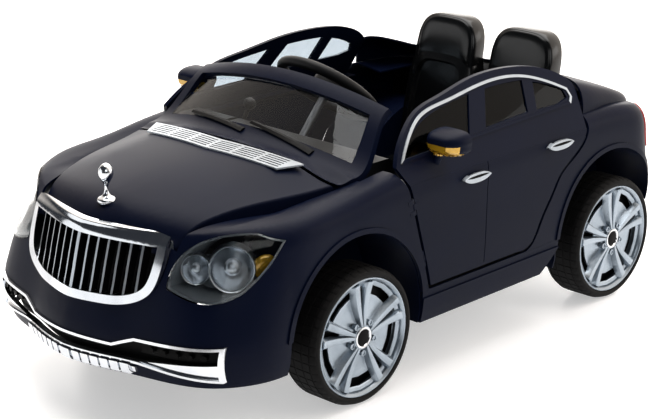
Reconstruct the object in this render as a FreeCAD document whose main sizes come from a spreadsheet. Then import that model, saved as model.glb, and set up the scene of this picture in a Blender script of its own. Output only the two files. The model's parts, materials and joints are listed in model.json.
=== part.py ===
# Electric ride-on car for a child: a moulded two-seat convertible with opening doors.
# Millimetres. +X is the car's left side, the nose points along -Y and +Z is up.
# The origin is on the floor under the middle of the car.
import FreeCAD
import Part
import Sketcher
import math
import os

doc = FreeCAD.newDocument("ride_on_car")
sheet = doc.addObject("Spreadsheet::Sheet", "sizes")

SIZES = (
    # Whole car
    ("overall_length", 1420), ("body_width", 704), ("wheelbase", 778), ("front_overhang", 429),
    ("ground_clearance", 114), ("trim_proud", 8), ("tail_shift", 4.3), ("wall", 4), ("seam", 0.3),
    ("panel_gap", 5), ("overrun", 60), ("run_clearance", 0.05), ("loose_clearance", 1),
    # Skin of the lower body: plan rounding, lean and the height of the shoulder crest
    ("nose_depth", 240), ("tail_depth", 150), ("nose_rake", 58), ("tail_rake", 26), ("side_barrel", 11),
    ("shoulder_base", 290), ("crest_nose", 364), ("crest_grille", 370), ("crest_lamp_root", 383),
    ("crest_lamp", 390), ("crest_fender", 400), ("crest_cowl", 414), ("crest_door", 422),
    ("crest_quarter", 418), ("crest_corner", 400), ("crest_tail", 368), ("shoulder_reach", 180),
    ("shoulder_fall", 18),
    # Wheel arches
    ("arch_radius", 174), ("arch_height", 162), ("front_arch_shift", 14), ("rear_arch_shift", 20),
    ("arch_lip", 10), ("arch_flare", 3), ("liner_wall", 3), ("liner_inner", 200),
    # Doors, in side view
    ("door_bottom", 187), ("door_front_foot", 96), ("door_front_lean", 57), ("door_length", 496),
    ("door_thickness", 22), ("door_gap", 7), ("belt_height", 397), ("door_top", 541),
    ("frame_foot_inset", 7), ("side_lean", 0.54), ("door_groove_width", 2), ("door_groove_depth", 1.5),
    ("frame_thickness", 10), ("pane_thickness", 3), ("window_trim_width", 5), ("window_trim_proud", 2),
    ("hinge_inset", 5), ("hinge_pin_radius", 2), ("hinge_pin_length", 34), ("hinge_leaf", 14),
    ("handle_length", 80), ("handle_height", 19), ("handle_proud", 10),
    ("mirror_width", 84), ("mirror_height", 46), ("mirror_depth", 52), ("mirror_stalk", 9),
    # Sill
    ("sill_top", 180), ("sill_proud", 3), ("sill_rear_cut", 50), ("sill_step", 165),
    # Bonnet, its vent strip and its ornament
    ("hood_setback", 80), ("hood_length", 347), ("hood_front_width", 376), ("hood_rear_width", 544),
    ("hood_nose_height", 362), ("hood_rear_height", 447), ("hood_edge_drop", 16), ("hood_skirt", 24),
    ("hood_front_bow", 40), ("hood_rear_bow", 13), ("hood_round", 5),
    ("vent_front_width", 364), ("vent_rear_width", 414), ("vent_length", 46), ("vent_proud", 3),
    ("vent_setback", 10), ("vent_slit", 3.2), ("vent_rib", 7),
    ("ornament_base_radius", 17), ("ornament_height", 70), ("ornament_setback", 38),
    # Windscreen
    ("screen_thickness", 14), ("screen_base_width", 568), ("screen_top_width", 508),
    ("screen_top_height", 556), ("screen_top_setback", 579), ("screen_top_drop", 36),
    ("screen_base_height", 449), ("screen_base_setback", 464), ("screen_base_drop", 30),
    ("screen_bow", 18), ("wiper_width", 4),
    # Grille
    ("grille_top_half", 182), ("grille_top", 352), ("grille_bottom", 236), ("grille_border", 15),
    ("grille_bar_width", 6), ("grille_bar_pitch", 23), ("grille_centre_width", 12),
    ("grille_depth", 16),
    # Lamps
    ("lamp_depth", 42), ("lamp_root_setback", 165), ("lamp_tip_setback", 280), ("lamp_wall", 4),
    ("lens_wall", 3), ("lamp_inner", 190), ("lamp_outer", 334), ("lamp_toe_angle", 30),
    ("lamp_low", 268), ("lamp_high", 380), ("reflector_radius", 33), ("small_reflector_radius", 23),
    ("reflector_depth", 22), ("reflector_wall", 2),
    ("tail_lamp_depth", 20),
    # Bumper
    ("intake_top", 176), ("intake_side_top", 196), ("intake_bottom", 142), ("intake_half", 122),
    ("fog_outer", 296), ("fog_low", 128), ("bumper_trim_lip", 5), ("tooth_width", 17), ("tooth_gap", 4),
    ("tooth_height", 20), ("tooth_base", 120), ("fog_radius", 5),
    # Wheels and axles
    ("tyre_diameter", 265), ("tyre_width", 84), ("rim_diameter", 232), ("wheel_face", 352),
    ("rim_wall", 5), ("spoke_depth", 16), ("hub_radius", 34), ("axle_radius", 6), ("cap_radius", 20),
    ("tread_depth", 3), ("tread_width", 7), ("lug_radius", 5), ("lug_circle", 27),
    ("beam_width", 40), ("beam_height", 18), ("kingpin_reach", 245), ("kingpin_radius", 6),
    ("kingpin_eye", 11), ("knuckle_plate", 6), ("steer_arm", 64), ("tie_pin_radius", 4),
    ("tie_rod_radius", 4), ("tie_slot_room", 6), ("tie_plate", 6), ("slot_clearance", 0.6),
    # Steering
    ("steering_radius", 115), ("steering_grip", 11), ("steering_height", 495), ("steering_setback", 695),
    ("steering_lean", 41), ("column_radius", 8), ("column_length", 458), ("crank_radius", 40),
    ("crank_pin_length", 50), ("steering_hub", 36), ("spoke_width", 26), ("horn_radius", 22),
    ("horn_travel", 3),
    # Floor, seat and fittings inside
    ("floor_thickness", 5), ("floor_half", 330), ("floor_wall_height", 66), ("floor_front", 612),
    ("floor_rear", 636), ("tub_front", 112), ("tub_rear", 285), ("firewall_setback", 476),
    ("seat_front", 168), ("seat_rear", 466), ("seat_height", 236), ("seat_width", 382), ("seat_wall", 6),
    ("seat_ledge", 4), ("seat_back_top", 556), ("seat_back_foot", 404), ("seat_back_lean", 58),
    ("seat_back_depth", 62), ("seat_back_width", 176), ("headrest_spacing", 212),
    ("dash_depth", 122), ("dash_top", 428), ("dash_bottom", 344), ("dash_half", 266),
    ("battery_length", 180), ("battery_width", 152), ("battery_height", 95),
    ("control_length", 110), ("control_width", 80), ("control_height", 34),
    ("gearbox_length", 120), ("gearbox_width", 56), ("gearbox_height", 84), ("gearbox_outer", 258),
    ("motor_radius", 19), ("motor_length", 62),
    ("pedal_length", 120), ("pedal_width", 62), ("pedal_thickness", 8), ("pedal_pin_radius", 4),
    ("pedal_offset", 110), ("pedal_lean", 38), ("lever_length", 74), ("lever_radius", 5),
    ("lever_knob", 13), ("lever_offset", 150), ("lever_lean", 30),
    # Rear deck
    ("deck_height", 497), ("deck_tail_height", 408), ("deck_front", 408), ("deck_half", 322),
    ("deck_length", 262), ("cockpit_half", 240), ("cockpit_rear", 512),
)

for row, (alias, number) in enumerate(SIZES, start=1):
    sheet.set(f"A{row}", alias)
    sheet.set(f"B{row}", str(number))
    sheet.setAlias(f"B{row}", alias)
doc.recompute()


class Sizes:
    """Reads a driving dimension from the spreadsheet by its alias."""

    def __getattr__(self, alias):
        return float(sheet.get(alias))


s = Sizes()
Vector = FreeCAD.Vector
LEFT = Vector(1, 0, 0)
REAR = Vector(0, 1, 0)
UP = Vector(0, 0, 1)
HERE = Vector(0, 0, 0)

# Places that several pieces share, worked out from the driving dimensions.
car_front = -s.overall_length / 2
nose = car_front + s.trim_proud
tail = s.tail_shift - nose
half_width = s.body_width / 2
front_axle = car_front + s.front_overhang
rear_axle = front_axle + s.wheelbase
axle_height = s.tyre_diameter / 2
floor_top = axle_height - s.beam_height / 2 - s.seam
floor_bottom = floor_top - s.floor_thickness
firewall = car_front + s.firewall_setback
far = s.overall_length
pan_half = s.liner_inner - s.liner_wall - s.seam


# Small makers of shapes and outlines

def box(low, high):
    """A block between two opposite corners."""
    return Part.makeBox(high[0] - low[0], high[1] - low[1], high[2] - low[2], Vector(*low))


def rod(radius, start, end):
    """A round bar from one point to another."""
    along = end - start
    return Part.makeCylinder(radius, along.Length, start, along)


def mirrored(shape):
    """The same shape on the other side of the car."""
    return shape.mirror(HERE, LEFT)


def pair(shape):
    """A left and a right copy as separate solids."""
    return Part.makeCompound([shape, mirrored(shape)])


def whole(half):
    """One solid from the left half and its reflection."""
    return half.fuse(mirrored(half)).removeSplitter()


def smooth(points, places=None):
    """A spline through points, at equal or given parameters."""
    curve = Part.BSplineCurve()
    if places:
        curve.interpolate(Points=points, Parameters=places)
    else:
        curve.interpolate(points)
    return curve


def face_of(runs, place):
    """A face inside a closed outline of straight and curved runs.

    The first run is the start point. Each next run starts where the last one ended: one
    point more is a straight line, several are a smooth curve through them.
    """
    here = place(*runs[0][0])
    start = here
    edges = []
    for run in runs[1:]:
        spots = [here] + [place(*point) for point in run]
        if len(spots) == 2:
            edges.append(Part.LineSegment(*spots).toShape())
        else:
            edges.append(smooth(spots).toShape())
        here = spots[-1]
    if (here - start).Length > s.run_clearance:
        edges.append(Part.LineSegment(here, start).toShape())
    return Part.Face(Part.Wire(edges))


OFFSET_POINTS = 14


def grown(face, grow):
    """A flat face grown outwards, with its offset curves drawn again as splines."""
    edges = []
    for edge in face.makeOffset2D(grow).OuterWire.OrderedEdges:
        if edge.Curve.TypeId in ("Part::GeomLine", "Part::GeomCircle"):
            edges.append(edge)
        else:
            points = edge.discretize(OFFSET_POINTS)
            edges.append(smooth(points, spacing([points])).toShape())
    return Part.Face(Part.Wire(edges))


def side_prism(runs, inner, outer):
    """An outline in side view (Y, Z), carried across the car from inner to outer X."""
    face = face_of(runs, lambda y, z: Vector(inner, y, z))
    return face.extrude(LEFT * (outer - inner))


def grown_corners(points, grow):
    """The corners of a straight-sided outline after each side has moved outwards by grow."""
    count = len(points)
    area = sum(points[k - 1][0] * points[k][1] - points[k][0] * points[k - 1][1] for k in range(count))
    turn = math.copysign(1, area)
    moved = []
    for k in range(count):
        before, here, after = points[k - 1], points[k], points[(k + 1) % count]
        sides = []
        for (x1, z1), (x2, z2) in ((before, here), (here, after)):
            length = math.hypot(x2 - x1, z2 - z1)
            sides.append((turn * (z2 - z1) / length, turn * (x1 - x2) / length))
        (a, b), (c, d) = sides
        scale = grow / (1 + a * c + b * d)
        moved.append((here[0] + scale * (a + c), here[1] + scale * (b + d)))
    return moved


def front_prism(runs, low_y, high_y, grow=0):
    """An outline in front view (X, Z), carried along the car and grown outwards by grow."""
    if grow and all(len(run) == 1 for run in runs):
        runs = [[corner] for corner in grown_corners([run[0] for run in runs], grow)]
        grow = 0
    face = face_of(runs, lambda x, z: Vector(x, low_y, z))
    if grow:
        face = grown(face, grow)
    return face.extrude(REAR * (high_y - low_y))


def through(places, heights):
    """A smooth height function through stations, without overshoot between them."""
    spans = [b - a for a, b in zip(places, places[1:])]
    rises = [(b - a) / span for a, b, span in zip(heights, heights[1:], spans)]
    slopes = [rises[0]]
    for before, after in zip(rises, rises[1:]):
        slopes.append(2 * before * after / (before + after) if before * after > 0 else 0)
    slopes.append(rises[-1])

    def height(place):
        place = min(max(place, places[0]), places[-1])
        index = max(k for k in range(len(spans)) if places[k] <= place)
        part = (place - places[index]) / spans[index]
        keep = 2 * part ** 3 - 3 * part ** 2 + 1
        tilt_in = (part ** 3 - 2 * part ** 2 + part) * spans[index] * slopes[index]
        tilt_out = (part ** 3 - part ** 2) * spans[index] * slopes[index + 1]
        return keep * heights[index] + (1 - keep) * heights[index + 1] + tilt_in + tilt_out

    return height


def spacing(rows):
    """Parameters along rows of points, by their mean chord length."""
    total = [0.0] * len(rows[0])
    for row in rows:
        run = [0.0]
        for a, b in zip(row, row[1:]):
            run.append(run[-1] + (b - a).Length)
        total = [mean + part / run[-1] for mean, part in zip(total, run)]
    return [mean / len(rows) for mean in total]


def surface(grid):
    """A smooth surface through a grid of points."""
    along = spacing(grid)
    across = spacing([list(column) for column in zip(*grid)])
    rows = [smooth(row, along) for row in grid]
    columns = [smooth(list(poles), across) for poles in zip(*[row.getPoles() for row in rows])]
    sheet_surface = Part.BSplineSurface()
    sheet_surface.buildFromPolesMultsKnots(
        [column.getPoles() for column in columns],
        rows[0].getMultiplicities(), columns[0].getMultiplicities(),
        rows[0].getKnots(), columns[0].getKnots(), False, False, rows[0].Degree, columns[0].Degree)
    return sheet_surface


def between(outer_grid, inner_grid):
    """A solid wall between two smooth surfaces with matching edges."""
    outer, inner = surface(outer_grid), surface(inner_grid)
    u_low, u_high, v_low, v_high = outer.bounds()
    faces = [outer.toShape(), inner.toShape()]
    for u in (u_low, u_high):
        faces.append(Part.makeRuledSurface(outer.uIso(u).toShape(), inner.uIso(u).toShape()))
    for v in (v_low, v_high):
        faces.append(Part.makeRuledSurface(outer.vIso(v).toShape(), inner.vIso(v).toShape()))
    shell = Part.makeShell(faces)
    shell.sewShape()
    solid = Part.makeSolid(shell)
    if solid.Volume < 0:
        solid.reverse()
    return solid


# Sub-parts of the document

made = []


def keep(label, shape):
    """A sub-part whose shape is worked out in code."""
    piece = doc.addObject("Part::Feature", label)
    piece.Label = label
    piece.Shape = shape
    piece.Placement = shape.Placement
    made.append(piece)
    return piece


def finish(label, piece):
    """Name a parametric sub-part and list it for the export."""
    piece.Label = label
    made.append(piece)
    return piece


def bind(piece, **expressions):
    """Tie properties of an object to the spreadsheet. Double underscores stand for dots."""
    for name, text in expressions.items():
        piece.setExpression(name.replace("__", "."), text)
    return piece


def draw_loop(sketch, corners):
    """Draw a closed loop of lines whose corners are expressions of the sheet."""
    spots = [Vector(*[float(sheet.evalExpression(text)) for text in corner], 0) for corner in corners]
    first = sketch.GeometryCount
    count = len(spots)
    for index, spot in enumerate(spots):
        sketch.addGeometry(Part.LineSegment(spot, spots[(index + 1) % count]), False)
    for index in range(count):
        sketch.addConstraint(Sketcher.Constraint(
            "Coincident", first + index, 2, first + (index + 1) % count, 1))
    for index, (corner, spot) in enumerate(zip(corners, spots)):
        for kind, text, value in zip(("DistanceX", "DistanceY"), corner, (spot.x, spot.y)):
            place = sketch.addConstraint(Sketcher.Constraint(kind, -1, 1, first + index, 1, value))
            sketch.setExpression(f"Constraints[{place}]", text)


def body_with_sketch(name, role, corners):
    """A body with one closed sketch on an origin plane."""
    body = doc.addObject("PartDesign::Body", name)
    sketch = body.newObject("Sketcher::SketchObject", name + "_sketch")
    plane = [p for p in body.Origin.OriginFeatures if p.Role == role][0]
    sketch.AttachmentSupport = [(plane, "")]
    sketch.MapMode = "FlatFace"
    draw_loop(sketch, corners)
    doc.recompute()
    return body, sketch


def turned_body(name, corners):
    """A body turned about the car's cross axis from a half section in (X, radius)."""
    body, sketch = body_with_sketch(name, "XZ_Plane", corners)
    turn = body.newObject("PartDesign::Revolution", name + "_turn")
    turn.Profile = sketch
    turn.ReferenceAxis = (sketch, ["H_Axis"])
    turn.Angle = 360
    doc.recompute()
    return body


# The lower body's skin. Rings of points run from the middle of the nose round the left side
# to the middle of the tail, and climb from the lower edge over the shoulder.

NOSE_STEPS = 9
SIDE_STEPS = 14
TAIL_STEPS = 7
# How sharply the plan outline turns at the nose and the tail.
nose_power_share = 4 / 3
tail_power_share = 2 / 3
crest_place_shares = (0, 0.073, 0.12, 0.173, 0.265, 0.336, 0.393, 0.778, 0.87, 0.94, 1)
crest_height = through(
    [nose + share * (tail - nose) for share in crest_place_shares],
    [s.crest_nose, s.crest_grille, s.crest_lamp_root, s.crest_lamp, s.crest_fender, s.crest_cowl,
     s.crest_door, s.crest_door, s.crest_quarter, s.crest_corner, s.crest_tail])
# Height up to the shoulder base, then how much of the barrel, nose rake and tail rake each ring takes.
lower_ring_shares = ((0, 1, 0.17, 0.95), (0.15, 0.45, 0.05, 0.4), (0.34, 0.15, 0, 0.08),
                     (0.67, 0, 0.27, 0), (1, 0.1, 0.57, 0.25))
# Height from the shoulder base to the crest, then how much of the shoulder's reach, fall, nose rake
# and tail rake each ring takes.
upper_ring_shares = ((0.45, 0.012, 0, 0.78, 0.45), (0.78, 0.03, 0, 0.93, 0.7),
                     (0.84, 0.045, 0, 0.96, 0.76), (0.94, 0.1, 0, 1, 0.85),
                     (0.985, 0.15, 0, 1.02, 0.95), (1, 0.22, 0, 1.05, 1.05),
                     (1, 0.32, 0.05, 1.1, 1.1), (1, 0.5, 0.25, 1.2, 1.2),
                     (1, 0.75, 0.65, 1.5, 1.5), (1, 1, 1, 2, 2))
flat_share = 0.2


def plan_outline(half, front, rear):
    """Points (x, y) from the middle of the nose round the left side to the middle of the tail."""
    points = []
    for step in range(NOSE_STEPS):
        angle = math.pi / 2 * step / (NOSE_STEPS - 1)
        points.append((half * math.sin(angle) ** nose_power_share,
                       front + s.nose_depth * (1 - math.cos(angle))))
    side_front, side_rear = front + s.nose_depth, rear - s.tail_depth
    for step in range(1, SIDE_STEPS):
        points.append((half, side_front + (side_rear - side_front) * step / SIDE_STEPS))
    for step in range(TAIL_STEPS):
        angle = math.pi / 2 * step / (TAIL_STEPS - 1)
        points.append((half * abs(math.cos(angle)) ** tail_power_share if step < TAIL_STEPS - 1 else 0,
                       rear - s.tail_depth * (1 - math.sin(angle) ** tail_power_share)))
    return points


def skin_rings(offset):
    """The skin's grid of points, moved outwards by offset."""
    rings = []
    for height, barrel, rake, tuck in lower_ring_shares:
        z = s.ground_clearance + height * (s.shoulder_base - s.ground_clearance)
        outline = plan_outline(half_width - barrel * s.side_barrel + offset,
                               nose + rake * s.nose_rake - offset, tail - tuck * s.tail_rake + offset)
        rings.append([Vector(x, y, z) for x, y in outline])
    for height, reach, fall, rake, tuck in upper_ring_shares:
        inset = reach * s.shoulder_reach
        deep = max(reach - flat_share, 0) * s.shoulder_reach
        outline = plan_outline(half_width - inset + offset, nose + rake * s.nose_rake + deep - offset,
                               tail - tuck * s.tail_rake - deep + offset)
        rings.append([Vector(x, y, s.shoulder_base + height * (crest_height(y) - s.shoulder_base)
                             - fall * s.shoulder_fall + height * offset) for x, y in outline])
    return rings


def skin(outside, inside):
    """The left half of a wall that follows the lower body, between two offsets."""
    return between(skin_rings(outside), skin_rings(inside))


def lower_volume(offset):
    """The space inside the skin's flat lower rings, as one solid for both sides."""
    wires = []
    for ring in skin_rings(offset)[:len(lower_ring_shares)]:
        edge = smooth(ring, spacing([ring])).toShape()
        back = [Vector(-p.x, p.y, p.z) for p in reversed(ring)]
        across = smooth(back, spacing([back])).toShape()
        wires.append(Part.Wire([edge, across]))
    return Part.makeLoft(wires, True, False)


panel = skin(0, -s.wall)


# Wheel arches and their liners

front_arch = front_axle - s.front_arch_shift
rear_arch = rear_axle - s.rear_arch_shift


def arch(centre, radius, inner, outer):
    """A round arch with straight legs down to the floor, between two X planes."""
    top = rod(radius, Vector(inner, centre, s.arch_height), Vector(outer, centre, s.arch_height))
    legs = box((inner, centre - radius, 0), (outer, centre + radius, s.arch_height))
    return top.fuse(legs)


inner_space = lower_volume(-s.wall - s.seam)
skin_space = lower_volume(-s.wall / 2)


def liner(centre):
    """The wheel well's inner wall, trimmed to end inside the outer skin."""
    inside = s.liner_inner - s.liner_wall
    outer = half_width - s.wall - s.frame_foot_inset / 2
    well = arch(centre, s.arch_radius + s.liner_wall, inside, outer)
    well = well.cut(arch(centre, s.arch_radius, s.liner_inner, far))
    well = well.cut(box((0, -far, -far), (far, far, s.ground_clearance)))
    low = well.common(skin_space)
    high = well.cut(box((0, -far, 0), (far, far, s.shoulder_base)))
    return low.fuse(high)


flare_skin = skin(s.arch_flare, -s.wall)


def arch_edge(centre):
    """A raised lip that follows the edge of the arch on the outer skin."""
    ring = arch(centre, s.arch_radius + s.arch_lip, s.liner_inner, far)
    ring = ring.cut(arch(centre, s.arch_radius, s.liner_inner, far))
    ring = ring.cut(box((0, -far, 0), (far, far, s.sill_top)))
    return flare_skin.common(ring)


# The door's outline in side view. Places are shares of the door's length back from its front
# foot, and of its height from the bottom to the belt or from the belt to the top.

lower_door_shares = (
    [(0, 0)], [(0.53, 0)],
    [(0.625, 0.057), (0.673, 0.238), (0.752, 0.486), (0.8, 0.638), (0.893, 0.781), (0.956, 0.895),
     (0.984, 1)],
    [(-0.115, 1)])
upper_door_shares = (
    [(-0.115, 0)], [(-0.151, 0.229)],
    [(-0.101, 0.4375), (-0.03, 0.632), (0.054, 0.785), (0.204, 0.889), (0.405, 1), (0.595, 1.02),
     (0.802, 0.93), (0.946, 0.743), (0.982, 0.66)],
    [(1, 0.58), (1, 0.417)], [(0.984, 0)])
window_shares = (
    ([(-0.113, 0.285)], [(-0.052, 0.465), (0.038, 0.632), (0.21, 0.771), (0.371, 0.826)], [(0.29, 0.326)]),
    ([(0.397, 0.375)], [(0.47, 0.833)], [(0.59, 0.835), (0.702, 0.8125)], [(0.669, 0.41)]),
    ([(0.726, 0.403)], [(0.76, 0.757)], [(0.85, 0.665), (0.925, 0.556)], [(0.935, 0.444)], [(0.859, 0.396)]))
trim_path_shares = ([(-0.122, 0.27)], [(-0.03, 0.569), (0.044, 0.729), (0.224, 0.84), (0.452, 0.924),
                    (0.726, 0.868), (0.849, 0.729), (0.95, 0.569)], [(0.962, 0.444)], [(0.94, 0.361)])


def placed(runs, low, high):
    """Turn shares of the door into places in side view, between two heights."""
    return [[(-s.door_front_foot + y * s.door_length, low + z * (high - low)) for y, z in run]
            for run in runs]


lower_door = placed(lower_door_shares, s.door_bottom, s.belt_height)
upper_door = placed(upper_door_shares, s.belt_height, s.door_top)
windows = [placed(runs, s.belt_height, s.door_top) for runs in window_shares]


def grown_side(runs, grow):
    """A side-view outline grown outwards and carried through the left half of the car."""
    face = grown(face_of(runs, lambda y, z: Vector(0, y, z)), grow)
    return face.extrude(LEFT * s.body_width)


door_opening = grown_side(lower_door, s.door_gap).fuse(grown_side(upper_door, s.door_gap))


# Front body: nose, both front wings, wheel liners and the wall in front of the cabin

def symmetric(half):
    """A straight-sided outline from the points of its right half, top middle to bottom middle."""
    other = [(-x, z) for x, z in reversed(half) if x]
    return [[half[0]]] + [[point] for point in list(half[1:]) + other]


grille_side_shares = ((1, 1), (0.99, 0.64), (0.91, 0.29), (0.71, 0.09), (0.36, 0.02), (0, 0))


def grille_runs():
    """The grille's outline in front view: a straight top and one rounded curve below."""
    height = s.grille_top - s.grille_bottom
    curve = [(x * s.grille_top_half, s.grille_bottom + z * height) for x, z in grille_side_shares]
    other = [(-x, z) for x, z in reversed(curve[:-1])]
    return [[other[-1]], [curve[0]], curve[1:] + other]


lamp_shares = ([(0, 0.14)], [(0.05, 0.55), (0.24, 0.84), (0.5, 0.98), (0.76, 1)], [(1, 0.875)],
               [(0.92, 0.45), (0.78, 0.14)], [(0.54, 0), (0.26, 0.02), (0, 0.14)])
tail_lamp_shares = ([(0, 0.08)], [(0.02, 0.5), (0.3, 0.86), (0.62, 1)], [(0.9, 0.95)],
                    [(1, 0.6), (0.97, 0.2)], [(0.6, 0), (0.25, 0), (0, 0.08)])


def lamp_runs():
    """The left headlamp's outline in front view."""
    wide, high = s.lamp_outer - s.lamp_inner, s.lamp_high - s.lamp_low
    return [[(s.lamp_inner + x * wide, s.lamp_low + z * high) for x, z in run] for run in lamp_shares]


def lamp_prism(grow):
    """The left headlamp's outline, carried back into the wing as far as its slanted back."""
    root, tip = car_front + s.lamp_root_setback, car_front + s.lamp_tip_setback
    back = [Vector(x, y, 0) for x, y in ((0, front_low), (half_width, front_low), (half_width, tip),
                                         (s.lamp_outer, tip), (s.lamp_inner, root), (0, root))]
    wedge = Part.Face(Part.makePolygon(back + back[:1])).extrude(UP * far)
    return front_prism(lamp_runs(), front_low, front_axle, grow).common(wedge)


step_share, pocket_share, low_share = 0.9, 1.25, 1.3


def intake_runs():
    """The low air intake with its lamp pockets, in front view."""
    return symmetric(((0, s.intake_top), (step_share * s.intake_half, s.intake_top - s.bumper_trim_lip / 2),
                      (pocket_share * s.intake_half, s.intake_side_top - s.bumper_trim_lip),
                      (s.fog_outer, s.intake_side_top), (s.fog_outer - s.bumper_trim_lip, s.fog_low),
                      (low_share * s.intake_half, s.intake_bottom), (0, s.intake_bottom)))


front_low, front_high = car_front - s.overrun, nose + s.nose_depth
grille_rear = car_front + s.hood_setback + s.hood_front_bow
hood_front = car_front + s.hood_setback
hood_rear = hood_front + s.hood_length


def hood_half_width(along):
    """Half the bonnet's width at a share of its length from the front."""
    return (s.hood_front_width + along * (s.hood_rear_width - s.hood_front_width)) / 2


hood_height_shares = ((0, 0), (0.035, 0.16), (0.11, 0.38), (0.235, 0.54), (0.495, 0.74), (0.81, 0.92), (1, 1))
hood_profile = through([y for y, z in hood_height_shares],
                       [s.hood_nose_height + z * (s.hood_rear_height - s.hood_nose_height)
                        for y, z in hood_height_shares])
hood_row_shares = (0, 0.03, 0.08, 0.15, 0.25, 0.4, 0.6, 0.8, 1)
HOOD_COLUMNS = 9
hood_bow_power_share = 1.5


def hood_point(side, along, inset, lift):
    """A point of the bonnet's top, from -1 to 1 across and 0 to 1 along, moved in and up."""
    half = hood_half_width(along) - inset
    y = hood_front + inset + along * (s.hood_length - 2 * inset)
    y += s.hood_front_bow * abs(side) ** hood_bow_power_share * (1 - along) ** 2
    y -= s.hood_rear_bow * (1 - side ** 2) * along
    z = hood_profile(along) - s.hood_edge_drop * side ** 2 + lift
    return Vector(side * half, y, z)


def hood_grid(inset, lift):
    """The grid of points of the bonnet's top."""
    sides = [2 * k / (HOOD_COLUMNS - 1) - 1 for k in range(HOOD_COLUMNS)]
    return [[hood_point(side, along, inset, lift) for side in sides] for along in hood_row_shares]


def hood_block(inset, lift, drop):
    """A solid below the bonnet's top surface, straight down by drop."""
    return surface(hood_grid(inset, lift)).toShape().extrude(UP * -drop)


hood_opening = hood_block(-s.panel_gap, s.overrun, far / 2)
hood_above = hood_block(0, -s.wall - s.seam, -far)
hood_room = hood_block(-s.loose_clearance, s.wall, s.hood_skirt + s.hood_edge_drop)


def front_body():
    """Nose, wings, wheel liners and the cabin's front wall, moulded in one piece."""
    half = panel.common(box((0, -far, 0), (far, 0, far)))
    half = half.fuse(arch_edge(front_arch))
    half = half.cut(arch(front_arch, s.arch_radius, s.liner_inner, far))
    half = half.cut(door_opening)
    half = half.cut(box((0, front_arch, 0), (far, 0, s.sill_top + s.seam)))
    cabin = s.hood_rear_width / 2 + s.door_thickness
    half = half.cut(box((0, firewall, s.sill_top), (cabin, 0, far)))
    half = half.cut(lamp_prism(s.seam))
    grille = front_prism(grille_runs(), front_low, grille_rear, s.seam)
    header = box((-s.grille_top_half - s.panel_gap, front_low, s.grille_top - s.seam),
                 (s.grille_top_half + s.panel_gap, grille_rear, far))
    half = half.cut(grille.fuse(header))
    half = half.cut(front_prism(intake_runs(), front_low, front_high - s.overrun, s.seam))
    half = half.cut(hood_opening)
    wall_low = floor_bottom + s.floor_wall_height + s.seam
    arch_top = s.arch_height + s.arch_radius
    lower_wall = box((0, firewall, wall_low), (s.liner_inner, firewall + s.wall, s.belt_height))
    upper_wall = box((0, firewall, arch_top), (s.hood_rear_width / 2, firewall + s.wall, s.crest_door))
    half = half.fuse([liner(front_arch), lower_wall, upper_wall])
    foot = Vector(s.liner_inner + s.arch_lip, front_arch - s.overrun, s.arch_height)
    post = rod(s.arch_lip, foot, foot + UP * (s.hood_rear_height - foot.z)).cut(hood_above)
    post = post.cut(arch(front_arch, s.arch_radius, s.liner_inner, far))
    half = half.fuse(post)
    half = half.cut(screen_block(s.seam))
    for share in hinge_place_shares:
        for span in wing_eye_shares:
            half = half.fuse(hinge_eye(share, *span, -s.hinge_leaf))
    return whole(half).cut(Part.makeCompound([steering_notch(), column_bore()]))


def rear_body():
    """Both rear quarters, the tail and the rear wheel liners, moulded in one piece."""
    half = panel.common(box((0, 0, 0), (far, far, far)))
    half = half.fuse(arch_edge(rear_arch))
    half = half.cut(arch(rear_arch, s.arch_radius, s.liner_inner, far))
    half = half.cut(door_opening)
    half = half.cut(box((0, 0, 0), (far, rear_arch, s.sill_top + s.seam)))
    half = half.cut(box((-far, 0, 0), (s.cockpit_half, s.cockpit_rear, far)))
    half = half.cut(tail_lamp_prism(s.seam))
    half = half.fuse(liner(rear_arch))
    return whole(half).cut(axle_bore())


tail_lamp_reach_shares = (0.64, 0.965)
tail_lamp_inner, tail_lamp_outer = (share * half_width for share in tail_lamp_reach_shares)
tail_lamp_low, tail_lamp_high = s.shoulder_base, s.crest_corner - s.wall


def tail_lamp_prism(grow):
    """The left tail lamp's outline, carried forward from behind the car."""
    wide, high = tail_lamp_outer - tail_lamp_inner, tail_lamp_high - tail_lamp_low
    runs = [[(tail_lamp_inner + x * wide, tail_lamp_low + z * high) for x, z in run]
            for run in tail_lamp_shares]
    prism = front_prism(runs, tail - s.tail_depth, tail + s.overrun, grow)
    root, tip = tail - s.tail_depth / 2, tail - s.tail_depth
    back = [Vector(x, y, 0) for x, y in ((0, far), (half_width, far), (half_width, tip),
                                         (tail_lamp_outer, tip), (tail_lamp_inner, root), (0, root))]
    return prism.common(Part.Face(Part.makePolygon(back + back[:1])).extrude(UP * far))


def sill():
    """The left sill: an outer rocker that stands proud below a step."""
    front = front_arch + s.arch_radius + s.liner_wall + s.seam
    rear = rear_arch - s.arch_radius - s.seam
    runs = [[(front, s.ground_clearance)], [(front, s.sill_top)], [(rear, s.sill_top)],
            [(rear, s.sill_step)], [(rear - s.sill_rear_cut, s.ground_clearance)]]
    rocker = side_prism(runs, s.liner_inner, far)
    low = box((0, -far, 0), (far, far, s.sill_step))
    return skin(s.sill_proud, -s.wall).common(rocker).common(low).fuse(panel.common(rocker))


# Rear deck: sections across the car, given as shares of the half width and of the rise

deck_section_shares = ((1, 0), (1, 0.35), (0.985, 0.62), (0.95, 0.8), (0.88, 0.91), (0.75, 0.965),
                       (0.5, 0.99), (0, 1))
deck_row_shares = (0, 0.16, 0.35, 0.58, 0.8, 0.94, 1.06)
deck_fall_shares = (0, 0.15, 0.34, 0.58, 0.82, 0.98, 1.36)
deck_width_shares = (1, 0.99, 0.97, 0.94, 0.88, 0.8, 0.7)


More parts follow.
